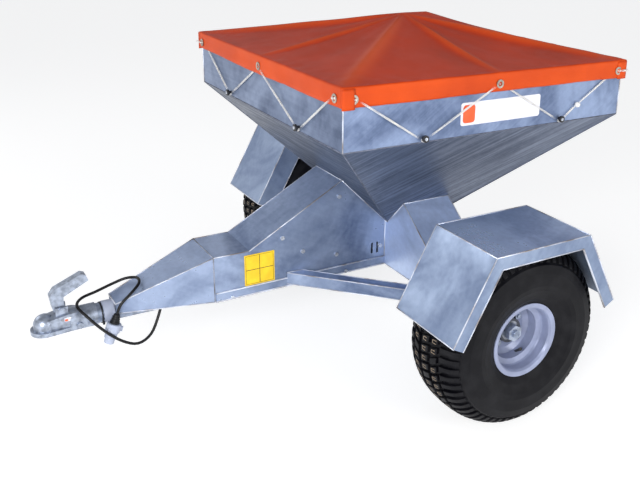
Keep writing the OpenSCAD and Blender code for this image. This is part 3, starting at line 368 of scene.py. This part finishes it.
# True puts the painted highlight on these pieces' rounded edges.
soften("drawbar drawbar_nose belly_tray leg_box brace_left brace_right guard_stays", 0.0015, 2, True)
soften("mudguard_left mudguard_right hopper axle_gussets", 0.0015, 2, True)
soften("coupling_head coupling_lever", 0.0014, 2, True)
soften("tube_collar rim_left rim_right side_plate drawbar_plate", 0.0010)
soften("wheel_nuts_left wheel_nuts_right axle_nuts hub_left hub_right coupling_bolts", 0.0010)
print("pieces with soft edges:", sum(1 for piece in nodes.values() if piece.modifiers))


# %% [markdown]
# A mesh is a list of points and a list of faces. This helper turns the two into a
# piece that rides on a CAD body, and rounds its shading all over unless told not to.

# %% Mesh helper
def new_piece(name, points, faces, made, body, smooth=True):
    mesh = bpy.data.meshes.new(name)
    mesh.from_pydata([tuple(p) for p in points], [], faces)
    mesh.update()
    cleaner = bmesh.new()
    cleaner.from_mesh(mesh)
    bmesh.ops.recalc_face_normals(cleaner, faces=cleaner.faces)
    cleaner.to_mesh(mesh)
    cleaner.free()
    if smooth:
        mesh.polygons.foreach_set("use_smooth", [True] * len(mesh.polygons))
    mesh.materials.append(made)
    piece = bpy.data.objects.new(name, mesh)
    bpy.context.scene.collection.objects.link(piece)
    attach(piece, body)
    return piece


# %% [markdown]
# When a fabricated frame comes out of the zinc bath, a thick bead hangs along each
# fold and each cut edge. Drawing every bead by hand would take days, so the CAD
# mesh tells where they are: an edge between two walls that meet at an outward
# angle gets a thin rod. Most rods are the pale edge zinc, a painted highlight for
# the light the edges catch; the hopper's level and sloping edges get a darker seam
# zinc. Edges hidden under the cover are left out.

# %% Zinc beads and painted highlights along the folds
BEAD_RADIUS = 0.0019
BEAD_SIDES = 6
LEAST_EDGE = 0.045
LEAST_FOLD = math.radians(14)
ABOVE_ALL = 9.0


def bead_edges(name, highest):
    """Long outward edges of a CAD piece, with their points in the world."""
    reader = bmesh.new()
    reader.from_mesh(nodes[name].data)
    bmesh.ops.remove_doubles(reader, verts=reader.verts, dist=1e-5)
    bmesh.ops.dissolve_limit(reader, angle_limit=math.radians(2), verts=reader.verts, edges=reader.edges)
    found = []
    for edge in reader.edges:
        if len(edge.link_faces) != 2 or not edge.is_convex or edge.calc_length() < LEAST_EDGE:
            continue
        if edge.calc_face_angle() > LEAST_FOLD:
            ends = [nodes[name].matrix_world @ v.co for v in edge.verts]
            if min(p.z for p in ends) < highest:
                found.append(ends)
    reader.free()
    return found


def zinc_bead_and_highlight_rods(name, made, wanted=lambda along: True, highest=ABOVE_ALL):
    points, faces = [], []
    for start, end in bead_edges(name, highest):
        along = (end - start).normalized()
        if not wanted(along):
            continue
        side = along.orthogonal().normalized()
        other = along.cross(side)
        first = len(points)
        for place in (start, end):
            for k in range(BEAD_SIDES):
                angle = 2 * math.pi * k / BEAD_SIDES
                points.append(place + (side * math.cos(angle) + other * math.sin(angle)) * BEAD_RADIUS)
        for k in range(BEAD_SIDES):
            n = (k + 1) % BEAD_SIDES
            faces.append((first + k, first + n, first + BEAD_SIDES + n, first + BEAD_SIDES + k))
        faces.append(tuple(first + k for k in range(BEAD_SIDES)))
        faces.append(tuple(first + BEAD_SIDES + k for k in range(BEAD_SIDES)))
    new_piece(name + "_" + made.name, points, faces, made, "chassis")
    return len(faces) // (BEAD_SIDES + 2)


seam_zinc = plated("zinc_seam", linear(112, 118, 136), 0.5, 0.4)
hopper_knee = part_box("hopper")[1].z - 0.12
# Upright hopper edges and the other steelwork get rods of pale edge zinc, a painted highlight; the hopper's
# other edges get the darker seam zinc.
edge_rod_count = zinc_bead_and_highlight_rods("hopper", edge_highlight_zinc, lambda along: abs(along.z) > 0.9, hopper_knee)
edge_rod_count += zinc_bead_and_highlight_rods("hopper", seam_zinc, lambda along: abs(along.z) <= 0.9, hopper_knee)
for name in ("drawbar drawbar_nose belly_tray leg_box mudguard_left mudguard_right "
             "brace_left brace_right").split():
    edge_rod_count += zinc_bead_and_highlight_rods(name, edge_highlight_zinc)
print("zinc beads:", edge_rod_count)

# %% [markdown]
# The cover is one square of coated cloth. It is pulled over a peaked frame and
# folded down round the mouth as a hem, so it has four corner ridges, four weaker
# ridges at mid side, hollows between them, and creases. The height is a function
# of the place on the square, which is easier to steer than a cloth simulation
# because the lacing holds the hem exactly where it is.

# %% Cover cloth
cover_low, cover_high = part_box("cover")
cover_middle = (cover_low + cover_high) / 2
RIDGE_SPOTS = 8
TOP_RUN = 0.18
half_cover = (cover_high.x - cover_low.x) / 2 - 0.0012
rim_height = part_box("hopper")[1].z + 0.004
peak_rise = cover_high.z - rim_height - 0.003


def cloth_height(u, v):
    """Height of the roof at (u, v), each from -1 to 1, and how near a ridge it is."""
    whole_v = v
    v = v if v < 0 else max(0.0, (v - TOP_RUN) / (1 - TOP_RUN))
    reach = max(abs(u), abs(v))
    turn = math.atan2(whole_v, u) / (2 * math.pi) * RIDGE_SPOTS
    off = abs(turn - round(turn)) * 2 * math.pi / RIDGE_SPOTS
    corner = round(turn) % 2
    hollow = math.sin(math.pi * min(1, reach)) ** 0.7 if reach > 0 else 0.0
    crest = math.exp(-((off * (0.25 + reach)) / (0.050 if corner else 0.032)) ** 2)
    sag = (-0.012 + crest * (0.013 if corner else 0.010)) * hollow
    place = Vector((u * 1.7, v * 1.7, 0.7))
    crumple = noise.noise(place * 2.0) * 0.0022 * hollow
    pull = noise.noise(Vector((turn * 3.1, reach * 1.2, 4.0))) * 0.0040 * hollow
    pucker = noise.noise(Vector((u * 13, v * 13, 9.0))) * 0.0016 * max(0.0, reach - 0.72) / 0.28
    rise = peak_rise * (1 - reach)
    lift = max(0.0, rise + sag + crumple + pull + pucker + 0.003 * (1 - reach))
    return rim_height + lift, crest * (0.35 + hollow)


cloth_points, cloth_faces, crests = [], [], []
CLOTH_CELLS = 112
for row in range(CLOTH_CELLS + 1):
    for column in range(CLOTH_CELLS + 1):
        u = -1 + 2 * column / CLOTH_CELLS
        v = -1 + 2 * row / CLOTH_CELLS
        height, crest = cloth_height(u, v)
        cloth_points.append((cover_middle.x + u * half_cover, cover_middle.y + v * half_cover, height))
        crests.append(crest)
for row in range(CLOTH_CELLS):
    for column in range(CLOTH_CELLS):
        a = row * (CLOTH_CELLS + 1) + column
        cloth_faces.append((a, a + 1, a + CLOTH_CELLS + 2, a + CLOTH_CELLS + 1))
ring = (list(range(CLOTH_CELLS))
        + [r * (CLOTH_CELLS + 1) + CLOTH_CELLS for r in range(CLOTH_CELLS)]
        + [CLOTH_CELLS * (CLOTH_CELLS + 1) + CLOTH_CELLS - c for c in range(CLOTH_CELLS)]
        + [(CLOTH_CELLS - r) * (CLOTH_CELLS + 1) for r in range(CLOTH_CELLS)])
HEM_ROWS = 8
hem_foot = cover_low.z
previous = ring
for step in range(1, HEM_ROWS + 1):
    share = step / HEM_ROWS
    current = []
    for i, top in enumerate(ring):
        x, y, z = cloth_points[top]
        out = Vector((x - cover_middle.x, y - cover_middle.y, 0)) / half_cover
        wave = (noise.noise(Vector((x * 9, y * 9, 3.1))) * 0.0030 - 0.0008) * share
        if share > 0.52:
            wave += 0.0010
        lower = noise.noise(Vector((x * 4, y * 4, 8.4))) * 0.003 * share
        length = rim_height - hem_foot + lower
        current.append(len(cloth_points))
        cloth_points.append((x + out.x * wave, y + out.y * wave, z - share * length))
        crests.append(0.0)
    for i in range(len(ring)):
        j = (i + 1) % len(ring)
        cloth_faces.append((previous[i], current[i], current[j], previous[j]))
    previous = current


def woven(name, colour, deep, top, crest_colour):
    made, tree, shader = finish_named(name, Sheen_Weight=0.02, Specular_IOR_Level=0.20)
    place = place_of(tree)
    cloud = add(tree, "TexNoise", {"Vector": place, "Scale": 5.0, "Detail": 6.0}).outputs["Fac"]
    crease = add(tree, "TexNoise", {"Vector": place, "Scale": 14.0, "Detail": 4.0,
                                    "Distortion": 1.2}).outputs["Fac"]
    upright = mixed(tree, ramp(tree, cloud, [(0.32, grey(0)), (0.7, grey(1))]), deep, colour)
    # Cloth facing up gets the darker top tone and the hanging hem the brighter one: painted shade by facing.
    facing = add(tree, "SeparateXYZ", {0: add(tree, "NewGeometry").outputs["Normal"]}).outputs["Z"]
    level = mixed(tree, ramp(tree, cloud, [(0.34, grey(0)), (0.68, grey(1))]),
                  tuple(v * 0.78 for v in top[:3]) + (1,), top)
    flat = mixed(tree, ramp(tree, facing, [(0.45, grey(0)), (0.8, grey(1))]), upright, level)
    # Lighter along the ridges, as far as the crest attribute says.
    crest = add(tree, "Attribute", attribute_name="crest").outputs["Fac"]
    crest_lightening = add(tree, "Math", {0: crest, 1: 0.5}, operation="MULTIPLY").outputs[0]
    tree.links.new(mixed(tree, crest_lightening, flat, crest_colour), shader.inputs["Base Color"])
    tree.links.new(add(tree, "MapRange", {0: crease, 3: 0.42, 4: 0.60}).outputs[0],
                   shader.inputs["Roughness"])
    threads = add(tree, "TexWave", {"Vector": place, "Scale": 380.0}, bands_direction="X").outputs["Fac"]
    cross = add(tree, "TexWave", {"Vector": place, "Scale": 380.0}, bands_direction="Y").outputs["Fac"]
    weave = mixed(tree, 0.5, threads, cross)
    bumped(tree, shader, mixed(tree, 0.15, crease, weave), 0.16, 0.004)
    return made


# The third colour is the painted-shade tone for cloth facing up; the last is the lighter ridge colour.
tarp = woven("orange_tarp", linear(216, 78, 12), linear(190, 62, 10), linear(204, 58, 12),
             linear(228, 92, 34))
cover_cloth = new_piece("cover_cloth", cloth_points, cloth_faces, tarp, "chassis")
crest_mark = cover_cloth.data.attributes.new("crest", "FLOAT", "POINT")
crest_mark.data.foreach_set("value", crests)
thicken = cover_cloth.modifiers.new("cloth_thickness", "SOLIDIFY")
thicken.thickness = 0.0016
thicken.offset = -1
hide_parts("cover")

# %% [markdown]
# At each corner the spare cloth of the hem is folded flat along the side and
# welded. The fold is a small separate sheet that stands a little proud of the hem
# and bulges where the layers stack up.

# %% Corner folds
FOLD_WIDTH = 0.038


def corner_fold(name, along_x, along_y):
    points, faces = [], []
    columns, rows = 6, 6
    for r in range(rows + 1):
        for c in range(columns + 1):
            s, t = c / columns, r / rows
            bulge = 0.0012 + 0.0020 * math.sin(math.pi * s) ** 0.5 + 0.0006 * t
            y = cover_middle.y + along_y * (half_cover + 0.0008 - FOLD_WIDTH * s)
            points.append((cover_middle.x + along_x * (half_cover + bulge), y,
                           rim_height - 0.003 - t * (rim_height - hem_foot + 0.001)))
    for r in range(rows):
        for c in range(columns):
            a = r * (columns + 1) + c
            faces.append((a, a + 1, a + columns + 2, a + columns + 1))
    fold = new_piece(name, points, faces, tarp, "chassis")
    layers = fold.modifiers.new("layers", "SOLIDIFY")
    layers.thickness = 0.0014
    layers.offset = -1 if along_x * along_y > 0 else 1


for count, (along_x, along_y) in enumerate(((1, -1), (1, 1), (-1, -1), (-1, 1))):
    corner_fold("hem_fold_%d" % count, along_x, along_y)
print("corner folds: 4, each", FOLD_WIDTH, "m wide")

# %% [markdown]
# Elastic cord is a core of rubber in a braided sleeve. The braid is much finer than
# the cord is thick, so a bump of fine bands is enough.

# %% Lacing cord finish
def braided(name, colour):
    made, tree, shader = finish_named(name, Roughness=0.7, Sheen_Weight=0.3)
    slanted = place_of(tree, turn=(0.6, 0.4, 0))
    bands = add(tree, "TexWave", {"Vector": slanted, "Scale": 240.0}).outputs["Fac"]
    tree.links.new(mixed(tree, bands, tuple(v * 0.7 for v in colour[:3]) + (1,), colour),
                   shader.inputs["Base Color"])
    bumped(tree, shader, bands, 0.4, 0.0008)
    return made


paint("lacing_cord", braided("lacing_braid", linear(250, 248, 244)))
rounder = nodes["lacing_cord"].modifiers.new("round_cord", "SUBSURF")
rounder.levels = rounder.render_levels = 1

# %% [markdown]
# The tyre is a ribbed carcass with separate rubber blocks. Blocks sit in rows: a
# chunky row on each shoulder and smaller ones between. Each block is drawn on the
# tyre's own curve, so it wraps round the crown.

# %% Tyres
tyre_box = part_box("tyre_left")
wheel_x = (tyre_box[0].x + tyre_box[1].x) / 2
wheel_y = (tyre_box[0].y + tyre_box[1].y) / 2
tyre_radius = (tyre_box[1].y - tyre_box[0].y) / 2
wheel_z = tyre_box[0].z + tyre_radius
TREAD_DEPTH = 0.010
PITCHES = 60
TREAD_RADIUS = 0.28
# Half of the tyre's skin as (distance out from the middle, radius)
skin = [(0.0, 0.288), (0.030, 0.2868), (0.050, 0.284), (0.068, 0.279), (0.085, 0.272), (0.096, 0.264),
        (0.105, 0.255), (0.115, 0.238), (0.121, 0.215), (0.124, 0.192), (0.1235, 0.178), (0.121, 0.163),
        (0.116, 0.147), (0.110, 0.135), (0.104, 0.126), (0.1000, 0.1195), (0.0968, 0.1148)]
skin_out = np.array([p[0] for p in skin])
skin_radius = np.array([p[1] for p in skin])
along_skin = np.concatenate([[0], np.cumsum(np.hypot(np.diff(skin_out), np.diff(skin_radius)))])


def on_skin(s):
    """How far out and how far from the axle the skin is, s metres from the crown."""
    return np.interp(s, along_skin, skin_out), np.interp(s, along_skin, skin_radius)


def skin_point(arc, lift, angle, centre_x):
    """Point on the tyre: arc metres along the skin from the crown, lift above it."""
    side = 1 if arc >= 0 else -1
    s = min(abs(arc), along_skin[-1])
    step = 0.002
    out, radius = on_skin(s)
    ahead = on_skin(s + step)
    behind = on_skin(max(0, s - step))
    run = Vector((ahead[0] - behind[0], ahead[1] - behind[1])).normalized()
    out, radius = out - run.y * lift, radius + run.x * lift
    return Vector((centre_x + side * out, wheel_y + radius * math.sin(angle),
                   wheel_z + radius * math.cos(angle)))


def tread_row(points, faces, centre_x, arc_middle, arc_half, width_share, shift, slant):
    for k in range(PITCHES):
        middle = 2 * math.pi * (k + shift) / PITCHES
        half = math.pi / PITCHES * width_share
        first = len(points)
        steps = 4
        for level, (lift, size) in enumerate(((-TREAD_DEPTH - 0.001, 1.0), (-0.0012, 0.93), (0.0, 0.84))):
            for i in range(steps + 1):
                arc = arc_middle + arc_half * size * (2 * i / steps - 1)
                lean = slant * (2 * i / steps - 1)
                for turn in (-1, 1):
                    points.append(skin_point(arc, lift, middle + half * size * turn + lean, centre_x))
        ring_size = (steps + 1) * 2

        def at(level, i, turn):
            return first + level * ring_size + i * 2 + turn
        for level in range(2):
            for i in range(steps):
                for turn in (0, 1):
                    faces.append((at(level, i, turn), at(level, i + 1, turn),
                                  at(level + 1, i + 1, turn), at(level + 1, i, turn)))
            for i in (0, steps):
                faces.append((at(level, i, 0), at(level, i, 1), at(level + 1, i, 1), at(level + 1, i, 0)))
        for i in range(steps):
            faces.append((at(2, i, 0), at(2, i + 1, 0), at(2, i + 1, 1), at(2, i, 1)))


def build_tyre(name, centre_x, body, replaced):
    points, faces = [], []
    profile = []
    for out, radius in skin:
        under = TREAD_DEPTH * min(1, max(0, (radius - 0.238) / 0.012)) if radius > 0.23 else 0.0
        rib = 0.0018 if radius in (0.192, 0.147) else 0.0
        profile.append((out - rib, radius - under))
    profile += [(0.088, 0.1040), (0.086, 0.1015), (0.076, 0.1015), (0.092, 0.123), (0.104, 0.140),
                (0.111, 0.163), (0.113, 0.192), (0.106, 0.225), (0.090, 0.252), (0.050, 0.268), (0.0, 0.272)]
    loop = profile + [(-o, r) for o, r in reversed(profile[1:-1])]
    turns = 176
    for t in range(turns):
        angle = 2 * math.pi * t / turns
        for out, radius in loop:
            points.append((centre_x + out, wheel_y + radius * math.sin(angle),
                           wheel_z + radius * math.cos(angle)))
    count = len(loop)
    for t in range(turns):
        for i in range(count):
            j, n = (i + 1) % count, (t + 1) % turns
            faces.append((t * count + i, t * count + j, n * count + j, n * count + i))
    for side in (-1, 1):
        tread_row(points, faces, centre_x, side * 0.0935, 0.0335, 0.54, 0.0 if side > 0 else 0.5, 0.0)
        tread_row(points, faces, centre_x, side * 0.0400, 0.0135, 0.70, 0.5 if side > 0 else 0.0, 0.02 * side)
    tread_row(points, faces, centre_x, 0.0, 0.0165, 0.72, 0.25, 0.015)
    tyre = new_piece(name, points, faces, rubber, body, smooth=False)
    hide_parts(replaced)


rubber = moulded("tyre_rubber", linear(5, 5, 11), 0.50, 700.0, 0.12, Specular_IOR_Level=0.17)
clay = moulded("dried_clay", linear(150, 132, 112), 0.85, 300.0, 0.2)

build_tyre("tyre_tread_left", wheel_x, "wheel_left", "tyre_left")
build_tyre("tyre_tread_right", -wheel_x, "wheel_right", "tyre_right")
print("tyre radius", round(tyre_radius, 3), "m with", PITCHES, "pitches")

# %% [markdown]
# The middle blocks have small moulded slots. Pale dried clay sits in four out of
# five of them, so they read as little light frames. A frame is three narrow quads
# laid a hair above the block.

# %% Clay in the tread slots
def clay_frames(name, centre_x, body):
    points, faces = [], []
    for arc_middle, shift in ((-0.040, 0.0), (0.0, 0.25), (0.040, 0.5)):
        for k in range(PITCHES):
            if (k * 7 + int(shift * 4)) % 5 == 0:
                continue
            middle = 2 * math.pi * (k + shift) / PITCHES
            half_arc, half_turn, line = 0.0075, 0.018, 0.0016
            line_turn = line / TREAD_RADIUS
            for a0, a1, t0, t1 in ((-half_arc, half_arc, -half_turn, -half_turn + line_turn),
                                   (-half_arc, half_arc, half_turn - line_turn, half_turn),
                                   (-half_arc, -half_arc + line, -half_turn, half_turn)):
                first = len(points)
                points.extend(skin_point(arc_middle + a, 0.0003, middle + t, centre_x)
                              for a, t in ((a0, t0), (a1, t0), (a1, t1), (a0, t1)))
                faces.append((first, first + 1, first + 2, first + 3))
    frames = new_piece(name, points, faces, clay, body, smooth=False)
    return len(faces)


frame_count = clay_frames("tread_clay_left", wheel_x, "wheel_left")
clay_frames("tread_clay_right", -wheel_x, "wheel_right")
print("clay strips on each tyre:", frame_count)

# %% [markdown]
# The cable is a free length of round flex. Its route repeats the CAD stations and
# is drawn as one smooth curve; its length is what it measures end to end.

# %% Cable
CABLE_RADIUS = 0.00425
axle_y = wheel_y
cable_stations = [(44, -842, 330), (50, -857, 285), (66, -888, 237), (75, -930, 221),
                  (79, -976, 244), (77, -1022, 288), (60, -1060, 333), (18, -1078, 354),
                  (-24, -1056, 356), (-42, -1010, 359), (-52, -962, 368), (-46, -922, 380),
                  (-18, -896, 388), (20, -900, 387), (48, -932, 373), (55, -964, 349), (55, -978, 320)]


def smooth_between(p, i, t):
    a, b, c, d = p[max(i - 1, 0)], p[i], p[i + 1], p[min(i + 2, len(p) - 1)]
    return (b + t * (c - a) / 2 + t * t * (2 * a - 5 * b + 4 * c - d) / 2
            + t * t * t * (3 * b - a - 3 * c + d) / 2)


stations = [Vector(p) / 1000 + Vector((0, axle_y, 0)) for p in cable_stations]
cable_line = [smooth_between(stations, i, k / 4) for i in range(len(stations) - 1) for k in range(4)]
cable_line.append(stations[-1])


def round_curve(name, line, radius, made, body):
    data = bpy.data.curves.new(name, "CURVE")
    data.dimensions = "3D"
    data.bevel_depth = radius
    data.bevel_resolution = 5
    data.use_fill_caps = True
    spline = data.splines.new("POLY")
    spline.points.add(len(line) - 1)
    for knot, place in zip(spline.points, line):
        knot.co = (*place, 1)
    spline.use_smooth = True
    data.materials.append(made)
    piece = bpy.data.objects.new(name, data)
    bpy.context.scene.collection.objects.link(piece)
    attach(piece, body)
    return piece


# %% [markdown]
# The plug is a grey moulded body with finger grips, a key on its side and a
# rubber boot that takes the strain off the cable. Turned shapes come from one
# outline spun about an axis; the grips are a ripple in the radius.

# %% Plug
plug_place = Vector((0.055, axle_y - 0.978, 0.320))
plug_turn = Matrix.Translation(plug_place) @ Matrix.Rotation(math.radians(160), 4, "X")


def turned(name, outline, made, grip_from=0.0, grip_to=0.0, key=None, spokes=48):
    """Spin (along, radius) millimetres about the plug's axis; grips dent the radius."""
    points, faces = [], []
    for along, radius in outline:
        for k in range(spokes):
            angle = 2 * math.pi * k / spokes
            dent = 0.9 if grip_from < along < grip_to and k % 4 == 0 else 0.0
            points.append(plug_turn @ (Vector(((radius - dent) * math.cos(angle),
                                               (radius - dent) * math.sin(angle), along)) / 1000))
    for i in range(len(outline) - 1):
        for k in range(spokes):
            n = (k + 1) % spokes
            faces.append((i * spokes + k, i * spokes + n, (i + 1) * spokes + n, (i + 1) * spokes + k))
    if key:
        first = len(points)
        (x0, y0, z0), (x1, y1, z1) = key
        points.extend(plug_turn @ (Vector((x, y, z)) / 1000) for z in (z0, z1) for x, y in
                      ((x0, y1), (x0, y0 + 2), (x0 + 2, y0), (x1 - 2, y0), (x1, y0 + 2), (x1, y1)))
        faces.extend((first + i, first + (i + 1) % 6, first + 6 + (i + 1) % 6, first + 6 + i)
                     for i in range(6))
        faces.append(tuple(first + i for i in range(6)))
        faces.append(tuple(first + 6 + i for i in range(6)))
    piece = new_piece(name, points, faces, made, "chassis")
    piece.data.set_sharp_from_angle(angle=math.radians(40))
    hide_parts("plug")
    return piece


plug_body = turned("plug_body", [(28, 4), (28, 19.5), (29.5, 21), (33, 21), (34, 20.8), (50, 20.8), (51, 21),
                                 (53, 21), (54, 19.5), (54.5, 17.5), (60, 17.5), (61, 16.8), (64, 16.8),
                                 (65, 17.5), (73, 17.5), (74, 16.5), (74.5, 14.5), (88.5, 14.5), (90, 13),
                                 (90, 11.5), (80, 11), (80, 0.2)], grey_plastic, 33.5, 50.5,
                   key=((-5, -28, 36), (5, -19, 50)))
plug_boot = turned("plug_boot", [(0, 4), (0, 8), (1, 9), (6, 9.6), (6.5, 11), (9, 11.2), (9.5, 10.2),
                                 (13, 10.8), (13.5, 12.2), (16, 12.4), (16.5, 11.4), (20, 12), (20.5, 13.6),
                                 (27.5, 14), (28, 13), (28, 4)], cable_sheath)
print("plug pieces:", plug_body.name, plug_boot.name)

# %% [markdown]
# The flex is a round tube along the cable's route.

# %% Flex
cable = round_curve("power_flex", cable_line, CABLE_RADIUS, cable_sheath, "chassis")
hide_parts("power_cable")

# %% [markdown]
# The two plates are plain enamel. The long white one on the hopper has an orange
# end, and the yellow one on the drawbar is ruled into four fields. Both marks are
# thin layers laid on the CAD plate, so their edges stay crisp.

# %% Marks on the plates
def layer(name, face_x, patches, made, round_by=0.0):
    """Flat rounded rectangles (y0, y1, z0, z1) that stand 0.4 mm off a plate facing +X."""
    points, faces = [], []
    for y0, y1, z0, z1 in patches:
        outline = []
        for cy, cz, start in ((y1, z1, 0), (y0, z1, 90), (y0, z0, 180), (y1, z0, 270)):
            inner_y = cy - round_by if cy == y1 else cy + round_by
            inner_z = cz - round_by if cz == z1 else cz + round_by
            for step in range(6):
                angle = math.radians(start + 18 * step)
                outline.append((inner_y + round_by * math.cos(angle), inner_z + round_by * math.sin(angle)))
        first = len(points)
        points.extend((face_x + lift, y, z) for lift in (-0.0004, 0.0004) for y, z in outline)
        count = len(outline)
        faces.append(tuple(range(first, first + count)))
        faces.append(tuple(range(first + count, first + 2 * count)))
        faces.extend((first + i, first + (i + 1) % count, first + count + (i + 1) % count, first + count + i)
                     for i in range(count))
    new_piece(name, points, faces, made, "chassis", smooth=False)


plate_low, plate_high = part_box("side_plate")
plate_run = plate_high.y - plate_low.y
layer("side_plate_end", plate_high.x, [(plate_low.y + 0.007, plate_low.y + 0.17 * plate_run,
                                        plate_low.z + 0.007, plate_high.z - 0.007)], orange_plate, 0.010)
note_low, note_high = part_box("drawbar_plate")
note_y, note_z = (note_low.y + note_high.y) / 2, (note_low.z + note_high.z) / 2
RULE = 0.0008
EDGE = 0.004
rules = [(note_y - RULE, note_y + RULE, note_low.z + EDGE, note_high.z - EDGE),
         (note_low.y + EDGE, note_high.y - EDGE, note_z - RULE, note_z + RULE),
         (note_low.y + EDGE, note_high.y - EDGE, note_low.z + EDGE, note_low.z + EDGE + RULE),
         (note_low.y + EDGE, note_high.y - EDGE, note_high.z - EDGE - RULE, note_high.z - EDGE),
         (note_low.y + EDGE, note_low.y + EDGE + RULE, note_low.z + EDGE, note_high.z - EDGE),
         (note_high.y - EDGE - RULE, note_high.y - EDGE, note_low.z + EDGE, note_high.z - EDGE)]
layer("drawbar_plate_rules", note_high.x, rules, black_plastic, 0.0002)
beside_head = Vector((0.3, axle_y - 1.108, 0.326))
side_hit, side_spot, _, _ = nodes["coupling_head"].ray_cast(beside_head, Vector((-1, 0, 0)))
if side_hit:
    patch_y, patch_z = side_spot.y, side_spot.z
    layer("coupling_patch", side_spot.x,
          [(patch_y - 0.009, patch_y + 0.009, patch_z - 0.006, patch_z + 0.005)], white_plate, 0.001)
    layer("coupling_patch_band", side_spot.x + 0.0003, [(patch_y - 0.008, patch_y + 0.001, patch_z - 0.005,
                                                         patch_z + 0.001)], orange_plate, 0.0005)
print("plates", round(plate_run, 3), "m and", round(note_high.y - note_low.y, 3), "m long")

# %% [markdown]
# The floor is a wide pale sheet, lit a little from within as a light table is.
# It isn't part of the spreader.

# %% Floor
floor_mesh = bpy.data.meshes.new("studio_floor")
floor_mesh.from_pydata([(-40, -40, 0), (40, -40, 0), (40, 40, 0), (-40, 40, 0)], [], [(0, 1, 2, 3)])
floor = bpy.data.objects.new("studio_floor", floor_mesh)
bpy.context.scene.collection.objects.link(floor)
floor_paint, _, floor_shader = finish_named("studio_floor", Roughness=0.95, Specular_IOR_Level=0.1,
                                            Emission_Strength=0.66)
floor_shader.inputs["Base Color"].default_value = (0.62, 0.62, 0.62, 1)
floor_shader.inputs["Emission Color"].default_value = (1.0, 1.0, 1.0, 1)
floor_mesh.materials.append(floor_paint)
